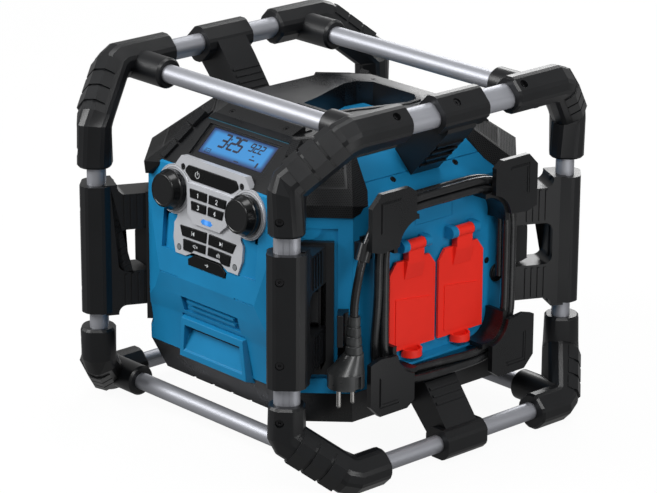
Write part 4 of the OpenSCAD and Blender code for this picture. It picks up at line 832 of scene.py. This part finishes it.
def coil_route():
    """The wound cord; each turn moves to its next cell on the way down the front, the last turn
    first, so that a strand has left its cell before the next one comes into it."""
    pitch = CORD_D + 2 * CORD_GAP
    first_x = COIL_LOW.x / MM + CORD_D / 2 + CORD_GAP
    last = len(CELLS) - 1
    route = []
    for i in range(int(TURNS * TURN_POINTS) + 1):
        turn = i / TURN_POINTS
        index = min(int(turn), last)
        moved = turn - index - MOVE_AT + MOVE_STEP * index
        ease = max(0.0, min(1.0, moved / MOVE_LENGTH))
        ease = ease * ease * (3 - 2 * ease)
        now, after = CELLS[index], CELLS[min(index + 1, last)]
        layer, ring = (a + (b - a) * ease for a, b in zip(now, after))
        inset = CORD_D / 2 + CORD_GAP + (1 - ring) * pitch
        radius = TURN_R[0] + (TURN_R[1] - TURN_R[0]) * ring
        y, z = ring_point(COIL_HALF.y - inset, COIL_HALF.z - inset, radius, FIRST_SHARE + turn)
        route.append(Vector((first_x + layer * pitch, COIL_MID.y + y, COIL_MID.z + z)))
    return route


def smooth_route(points, steps):
    """A smooth curve through given points."""
    route = []
    padded = [points[0] * 2 - points[1], *points, points[-1] * 2 - points[-2]]
    for a, b, c, d in zip(padded, padded[1:], padded[2:], padded[3:]):
        for i in range(steps):
            t = i / steps
            route.append(0.5 * ((2 * b) + (c - a) * t + (2 * a - 5 * b + 4 * c - d) * t * t
                                + (3 * b - a - 3 * c + d) * t ** 3))
    return route + [points[-1]]


def relaxed(route, rounds):
    """The route with its corners eased, ends kept."""
    for _ in range(rounds):
        eased = [(a + b * 2 + c) / 4 for a, b, c in zip(route, route[1:], route[2:])]
        route = [route[0], *eased, route[-1]]
    return route


class RADIO_OT_cord(Build, bpy.types.Operator):
    """Wind the mains cord on its hooks and hang its plug beside the panel"""

    bl_idname = "radio.cord"
    bl_label = "Cord and plug"

    def execute(self, context):
        tail = smooth_route([Vector(p) for p in TAIL], steps=4)
        route = relaxed(coil_route() + tail, rounds=3)
        curve = bpy.data.curves.new("cord", "CURVE")
        curve.dimensions, curve.use_fill_caps = "3D", True
        curve.bevel_depth, curve.bevel_resolution = CORD_D / 2 * MM, 5
        line = curve.splines.new("POLY")
        line.points.add(len(route) - 1)
        for point, place in zip(line.points, route):
            point.co = (*(place * MM), 1.0)
        line.use_smooth = True
        cord = into_scene("mains_cord", curve)
        attach(cord, HOUSING, "cord", "cord_coil", "cord_tail")
        relief = rounded("strain_relief", "plug", 0.35)
        plug = rounded("plug", "plug", 1.2, 3, 20)
        pins = rounded("plug_pins", "pins", 0.2)
        rounded("cord_gland", "black", 0.5)
        length = sum((b - a).length for a, b in zip(route, route[1:])) * MM
        tuple(route[0] * MM)
        return {"FINISHED"}


# ---- housing


class RADIO_OT_housing(Build, bpy.types.Operator):
    """Round the edges of the blue housings and grain their plastic"""

    bl_idname = "radio.housing"
    bl_label = "Blue housings"

    def execute(self, context):
        for node, radius in (("front_shell", 0.7), ("rear_shell", 0.7), ("left_panel", 0.6),
                             ("outlet_panel", 0.6), ("recess_floor", 1.0), ("battery_door", 0.6)):
            rounded(node, "blue", radius)
        return {"FINISHED"}


class RADIO_OT_sound_port(Build, bpy.types.Operator):
    """Set the raised frame of the sound port low on the front, with a strip of painted shadow under its
    inner top edge
    """

    bl_idname = "radio.sound_port"
    bl_label = "Sound port frame"

    def execute(self, context):
        # outline by outline, from the foot on the housing over the rim to the plate inside: each
        # has half a width, a depth and a height for its lower and its upper edge
        outlines = (((57, -157, 80), (52, -157, 130)), ((53, -167, 83), (48.5, -168, 127)),
                    ((47, -167, 90), (43.5, -168, 119)), ((46, -165.5, 91), (43, -157, 118)))
        points = []
        for low, top in outlines:
            points += [(-low[0], *low[1:]), low, top, (-top[0], *top[1:])]
        faces = [[3, 2, 1, 0], [12, 13, 14, 15], *walls(0, len(outlines), 4)]
        made = from_faces("sound_port_frame", [Vector(p) * MM for p in points], faces)
        round_edges(made, 0.7, 3)
        attach(apply_modifiers(made), HOUSING, "blue")
        # a near-black strip just under the frame's inner top edge, in the cloth finish: painted shadow
        slot = [(-42.4, -158.9, 112.8), (42.4, -158.9, 112.8), (42.8, -158.2, 118.3),
                (-42.8, -158.2, 118.3)]
        slot = from_faces("sound_port_painted_shadow", [Vector(p) * MM for p in slot], [(0, 1, 2, 3)])
        attach(slot, HOUSING, "cloth")
        return {"FINISHED"}


class RADIO_OT_black_parts(Build, bpy.types.Operator):
    """Round and grain the tray, the top cover and the holders"""

    bl_idname = "radio.black_parts"
    bl_label = "Tray, top cover and holders"

    def execute(self, context):
        for node, radius, segments in (("base_tray", 1.0, 2), ("top_cover", 0.7, 2),
                                       ("plug_holder", 0.6, 2), ("cord_clip", 0.6, 2),
                                       ("cord_hooks", 0.9, 3), ("socket_inserts", 0.6, 2)):
            rounded(node, "black", radius, segments)
        return {"FINISHED"}


class RADIO_OT_hook_ribs(Build, bpy.types.Operator):
    """Raise an angled rib on the outer face of each cord hook"""

    bl_idname = "radio.hook_ribs"
    bl_label = "Hook ribs"

    def execute(self, context):
        face_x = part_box("cord_hooks")[1].x / MM
        ribs = PlainSheet(lambda y, z, lift: Vector((face_x + lift, y, COIL_MID.z + z)) * MM, -0.3, 1.1)
        rib = [(103.6, 77), (103.6, 107), (78, 107), (78, 105.2), (101.8, 105.2), (101.8, 77)]
        for side in (-1, 1):
            for end in (-1, 1):
                mirrored = [(side * y, end * z) for y, z in rib]
                ribs.polygon(mirrored if side == end else mirrored[::-1])
        made = ribs.piece("hook_ribs")
        round_edges(made, 0.35, 2)
        attach(apply_modifiers(made), HOUSING, "cage")
        return {"FINISHED"}


class RADIO_OT_inner_parts(Build, bpy.types.Operator):
    """Finish what is inside the housing"""

    bl_idname = "radio.inner_parts"
    bl_label = "Inner parts"

    def execute(self, context):
        for node, finish in (("circuit_board", "board"), ("power_supply", "board"),
                             ("lcd_module", "inner"), ("battery_pack", "inner"),
                             ("speakers", "cone"), ("subwoofer", "cone"),
                             ("battery_door_pin", "hinge"), ("cover_hinge_pins", "hinge")):
            materials = frame["nodes"][node].data.materials
            materials.clear()
            materials.append(finish_of(finish)[0])
        return {"FINISHED"}


class RADIO_OT_speaker_corners(Build, bpy.types.Operator):
    """Finish the four speaker caps and perforate their grilles"""

    bl_idname = "radio.speaker_corners"
    bl_label = "Speaker corners"

    def execute(self, context):
        for corner in ("fr", "fl", "br", "bl"):
            flat_map(rounded("speaker_cap_" + corner, "cap", 0.6))
        group = sheet_group()
        work, groups = solids_of("speaker_grilles")
        for number, solid in enumerate(groups, 1):
            field, cloth = perforated_plate("grille_%d" % number, solid, group)
            attach(field, HOUSING, "mesh", "speaker_grilles")
            attach(cloth, HOUSING, "cloth")
        work.free()
        return {"FINISHED"}


# ---- display

# the bars of a seven-segment figure, a at the top, then clockwise to f, and g across the middle
BARS = {"2": "abged", "3": "abgcd", "5": "afgcd", "9": "abfgcd"}
LEAN = 0.16
# the small signs, each line with its width: a point, a tuner frame, a level bar, an empty gauge
SIGNS = (
    (1.2, [(27.0, 43.8), (27.1, 44.2)]),
    (0.7, [(-41.3, 27.4), (-33.7, 27.4)]), (0.7, [(-41.3, 32.0), (-33.7, 32.0)]),
    (0.7, [(-41.3, 27.4), (-41.3, 32.0)]), (0.7, [(-33.7, 27.4), (-33.7, 32.0)]),
    (0.7, [(-39.6, 28.8), (-39.6, 30.6)]), (0.7, [(-37.4, 28.8), (-35.6, 30.6)]),
    (1.3, [(5.3, 27.8), (11.7, 27.8)]), (1.6, [(24.6, 39.0), (26.2, 39.0)]),
    (1.5, [(23.4, 34.9), (30.4, 34.9)]), (2.5, [(37.6, 28.6), (37.6, 33.0)]))


def digit(sheet, figure, u, v, width, height, thick):
    """A slanted seven-segment figure."""
    half, gap = height / 2, thick * 0.32
    ends = {"a": ((0, height), (width, height)), "b": ((width, height), (width, half)),
            "c": ((width, half), (width, 0)), "d": ((0, 0), (width, 0)), "e": ((0, 0), (0, half)),
            "f": ((0, half), (0, height)), "g": ((0, half), (width, half))}
    for bar in BARS[figure]:
        (x0, y0), (x1, y1) = ends[bar]
        inward = gap if y1 > y0 else -gap
        line = [(x0 + gap, y0), (x1 - gap, y1)] if y0 == y1 else [(x0, y0 + inward), (x1, y1 - inward)]
        sheet.stroke([(u + x + LEAN * y, v + y) for x, y in line], thick)


class RADIO_OT_display(Build, bpy.types.Operator):
    """Light the display and set its figures"""

    bl_idname = "radio.display"
    bl_label = "Display"

    def execute(self, context):
        rounded("display_panel", "black", 0.5)
        rounded("lcd_lens", "screen", 0.2, 1)
        marks = PlainSheet(on_slope, GLASS_LIFT + 0.02, 0.06)
        for figure, u in (("3", -28.7), ("2", -15.4), ("5", -5.2)):
            digit(marks, figure, u, v=37.9, width=7.6, height=15.6, thick=2.5)
        for v in (42.4, 49.2):
            u = -18.2 + LEAN * (v - 38)
            marks.stroke([(u, v), (u + 0.2, v + 0.7)], 2.0)
        for figure, u in (("9", 13.6), ("2", 20.9), ("2", 28.4)):
            digit(marks, figure, u, v=44.0, width=4.9, height=8.9, thick=1.6)
        for width, line in SIGNS:
            marks.stroke(line, width)
        attach(marks.piece("display_figures"), HOUSING, "segments")
        # a thin teal trim line along the panel's top edge, with a painted glow
        light = PlainSheet(on_slope, -0.2, 0.5)
        light.stroke([(-62, 63.6), (62, 63.6)], 0.8)
        attach(light.piece("display_trim_painted_glow"), HOUSING, "painted_glow")
        return {"FINISHED"}


# ---- fascia, keys and knobs

# the low ring round a knob: radius and lift of each corner of its section
RING_SECTION = ((22.6, -0.1), (22.9, 0.45), (24.4, 0.45), (24.8, -0.1))
RING_POINTS = 96
# dark strokes just outside the feet of each knob ring: painted shade where the ring meets its lobe
RING_SHADE_RADII, RING_SHADE_W = (22.3, 25.1), 0.3
PLUG_X, PLUG_V, PLUG_R = 44.0, 6.8, 2.8

KEYS = ("power_button", "preset_button_1", "preset_button_2", "preset_button_3", "preset_button_4",
        "previous_button", "next_button", "mute_button", "equalizer_button", "source_button")
# how far out of the fascia the faces of the keys are, and how far their marks stand out
KEY_LIFT, PRESET_LIFT, SOURCE_LIFT, MARK_H = 1.41, 4.91, -0.59, 0.07
# each preset's figure: its middle on the fascia, and its line for a height of about 4
FIGURE_SIZE = 1.15
FIGURES = {
    "1": ((-14.8, 68.5), [(-0.7, 1.0), (0.3, 2.0), (0.3, -2.0)]),
    "2": ((14.8, 68.5), [(-1.1, 1.2), (-0.5, 1.9), (0.5, 1.9), (1.1, 1.2), (1.0, 0.4), (-1.1, -1.9),
                         (1.2, -1.9)]),
    "3": ((-13.0, 56.0), [(-1.1, 1.9), (1.1, 1.9), (0.0, 0.4), (0.9, 0.1), (1.1, -0.9), (0.6, -1.8),
                          (-0.5, -1.9), (-1.1, -1.3)]),
    "4": ((13.0, 56.0), [(0.5, -2.0), (0.5, 2.0), (-1.2, -0.8), (1.2, -0.8)]),
}


def knob_ring(x):
    """The low raised ring round a knob, on its lobe of the fascia."""
    points = []
    for u, v in arc(x, KNOB_V, 1.0, 0, 360, RING_POINTS)[:-1]:
        points += [on_fascia(x + (u - x) * radius, KNOB_V + (v - KNOB_V) * radius, lift)
                   for radius, lift in RING_SECTION]
    faces = walls(0, RING_POINTS, len(RING_SECTION), closed=True)
    return from_faces("knob_ring_" + ("left" if x < 0 else "right"), points, faces)


def key_mark(name, key, lift, width, lines, area=None):
    """A pale raised mark on a key: its area, if it has one, and its lines of one width."""
    sheet = PlainSheet(on_fascia, lift, MARK_H)
    if area:
        sheet.polygon(area)
    for line in lines:
        sheet.stroke(line, width)
    attach(sheet.piece(name), key, "marks")


class RADIO_OT_fascia(Build, bpy.types.Operator):
    """Paint the fascia and trim its lobes"""

    bl_idname = "radio.fascia"
    bl_label = "Fascia"

    def execute(self, context):
        rounded("control_fascia", "fascia", 0.6)
        rounded("status_light", "lamp", 0.5)
        # painted shade round each knob ring, in the dark inner finish
        ring_shade = PlainSheet(on_fascia, 0.0, 0.04)
        plugs = PlainSheet(on_fascia, -0.15, 0.45)
        for side in (-1, 1):
            attach(knob_ring(side * KNOB_X), HOUSING, "fascia")
            for radius in RING_SHADE_RADII:
                ring_shade.stroke(arc(side * KNOB_X, KNOB_V, radius, 0, 360, 72), RING_SHADE_W)
            plugs.polygon(arc(side * PLUG_X, PLUG_V, PLUG_R, 0, 345, 23))
        attach(ring_shade.piece("lobe_ring_painted_shade"), HOUSING, "inner")
        attach(plugs.piece("fascia_plugs"), HOUSING, "plugs")
        return {"FINISHED"}


class RADIO_OT_keys(Build, bpy.types.Operator):
    """Finish the ten keys and set their plain marks"""

    bl_idname = "radio.keys"
    bl_label = "Keys"

    def execute(self, context):
        for node in KEYS:
            rounded(node, "keys", 0.6, 3)
        for number, ((u, v), line) in FIGURES.items():
            line = [(u + a * FIGURE_SIZE, v + b * FIGURE_SIZE) for a, b in line]
            key_mark("figure_" + number, "preset_button_" + number, PRESET_LIFT, 0.8, [line])
        key_mark("power_mark", "power_button", KEY_LIFT, 0.7,
                 [arc(-21.5, 88.2, 3.2, 125, 415, 16), [(-21.5, 88.4), (-21.5, 92.2)]])
        for side, way in ((-1, "previous"), (1, "next")):
            u, v = side * 21.5, 25.8
            area = [(u + side * 1.9, v), (u - side * 1.5, v + 2.3), (u - side * 1.5, v - 2.3)]
            key_mark(way + "_mark", way + "_button", KEY_LIFT, 0.6,
                     [[(u + side * 2.6, v - 2.1), (u + side * 2.6, v + 2.1)]],
                     area if side > 0 else area[::-1])
        horn = [(-20.6, 12.6), (-19.2, 12.6), (-17.4, 11.2), (-17.4, 15.4), (-19.2, 14.0), (-20.6, 14.0),
                (-20.6, 12.6)]
        key_mark("mute_mark", "mute_button", KEY_LIFT, 0.45,
                 [horn, [(-15.8, 12.2), (-13.6, 14.4)], [(-15.8, 14.4), (-13.6, 12.2)]])
        key_mark("level_mark", "equalizer_button", KEY_LIFT, 0.8,
                 [[(u, 11.4), (u, top)] for u, top in ((17, 13.4), (19, 15.2), (21, 14.2))])
        key_mark("source_mark", "source_button", SOURCE_LIFT, 0.6,
                 [[(-2.6, -2.6), (2.2, -2.6)], [(0.6, -1.0), (2.4, -2.6), (0.6, -4.2)]])
        return {"FINISHED"}


class RADIO_OT_knobs(Build, bpy.types.Operator):
    """Finish the two knobs"""

    bl_idname = "radio.knobs"
    bl_label = "Knobs"

    def execute(self, context):
        for node in ("tuning_knob", "volume_knob"):
            rounded(node, "knob", 0.35, 2, 30)
        return {"FINISHED"}


# ---- outlets


class RADIO_OT_covers(Build, bpy.types.Operator):
    """Finish the two red socket covers"""

    bl_idname = "radio.covers"
    bl_label = "Socket covers"

    def execute(self, context):
        for node in ("left_socket_cover", "right_socket_cover"):
            rounded(node, "red", 0.7, 3)
        return {"FINISHED"}


# ---- cage


class RADIO_OT_cage(Build, bpy.types.Operator):
    """Round the moulded elbows, mounts and clamps of the cage"""

    bl_idname = "radio.cage"
    bl_label = "Cage mouldings"

    def execute(self, context):
        for node, radius in (("upper_elbows", 1.8), ("lower_elbows", 1.8), ("corner_mounts", 1.2),
                             ("top_clamps", 1.2), ("bottom_clamps", 1.2)):
            rounded(node, "cage", radius, 3)
        return {"FINISHED"}


class RADIO_OT_tubes(Build, bpy.types.Operator):
    """Brush the aluminium tubes and blacken the screws"""

    bl_idname = "radio.tubes"
    bl_label = "Tubes and screws"

    def execute(self, context):
        for node, finish in (("cage_posts", "post"), ("top_rails", "rail"), ("bottom_rails", "rail"),
                             ("cross_rails", "cross")):
            rounded(node, finish, 0.25, 1, 40)
        for node in ("cage_screws", "body_screws"):
            rounded(node, "screws", 0.3, 2, 40)
        return {"FINISHED"}


# ---- add-on


class RadioSettings(bpy.types.PropertyGroup):
    """The colours, sizes and light levels that a user would change"""

    blue: bpy.props.FloatVectorProperty(
        name="Blue plastic", description="Colour of the housings", subtype="COLOR",
        default=(0.011, 0.197, 0.405), min=0, max=1)
    black: bpy.props.FloatVectorProperty(
        name="Black plastic", description="Colour of the cage mouldings and trims", subtype="COLOR",
        default=(0.0065, 0.007, 0.008), min=0, max=1)
    red: bpy.props.FloatVectorProperty(
        name="Red plastic", description="Colour of the socket covers", subtype="COLOR",
        default=(0.88, 0.028, 0.016), min=0, max=1)
    silver: bpy.props.FloatVectorProperty(
        name="Silver paint", description="Colour of the fascia", subtype="COLOR",
        default=(0.55, 0.56, 0.59), min=0, max=1)
    alloy: bpy.props.FloatVectorProperty(
        name="Tube metal", description="Colour of the aluminium tubes", subtype="COLOR",
        default=(0.42, 0.43, 0.468), min=0, max=1)
    pitch: bpy.props.FloatProperty(
        name="Grille pitch", description="Distance between the holes of the speaker corners",
        default=0.0024, min=0.0015, unit="LENGTH")
    hole: bpy.props.FloatProperty(
        name="Grille hole", description="Width of the holes in the grilles", default=0.0015,
        min=0.0003, unit="LENGTH")
    key: bpy.props.FloatProperty(
        name="Key light", description="Power of the main lamp in watts", default=85.0, min=0,
        unit="POWER")
    fill: bpy.props.FloatProperty(
        name="Fill light", description="Strength of the even light from all round", default=0.15, min=0)


STEPS = (RADIO_OT_stage, RADIO_OT_cord, RADIO_OT_housing, RADIO_OT_sound_port, RADIO_OT_black_parts,
         RADIO_OT_hook_ribs, RADIO_OT_inner_parts, RADIO_OT_speaker_corners, RADIO_OT_display,
         RADIO_OT_fascia, RADIO_OT_keys, RADIO_OT_knobs, RADIO_OT_covers, RADIO_OT_cage, RADIO_OT_tubes)


class RADIO_PT_panel(bpy.types.Panel):
    """The radio's settings and building steps"""

    bl_idname = "RADIO_PT_panel"
    bl_label = "Jobsite radio"
    bl_space_type = "VIEW_3D"
    bl_region_type = "UI"
    bl_category = "Radio"

    def draw(self, context):
        column = self.layout.column()
        for name in RadioSettings.__annotations__:
            column.prop(context.scene.jobsite_radio, name)
        for step in STEPS:
            column.operator(step.bl_idname)


CLASSES = (RadioSettings, *STEPS, RADIO_PT_panel)


def register():
    for made in CLASSES:
        bpy.utils.register_class(made)
    bpy.types.Scene.jobsite_radio = bpy.props.PointerProperty(type=RadioSettings)


def unregister():
    del bpy.types.Scene.jobsite_radio
    for made in reversed(CLASSES):
        bpy.utils.unregister_class(made)


def main():
    register()
    for step in STEPS:
        group, name = step.bl_idname.split(".")
        getattr(getattr(bpy.ops, group), name)()


if __name__ == "__main__":
    main()
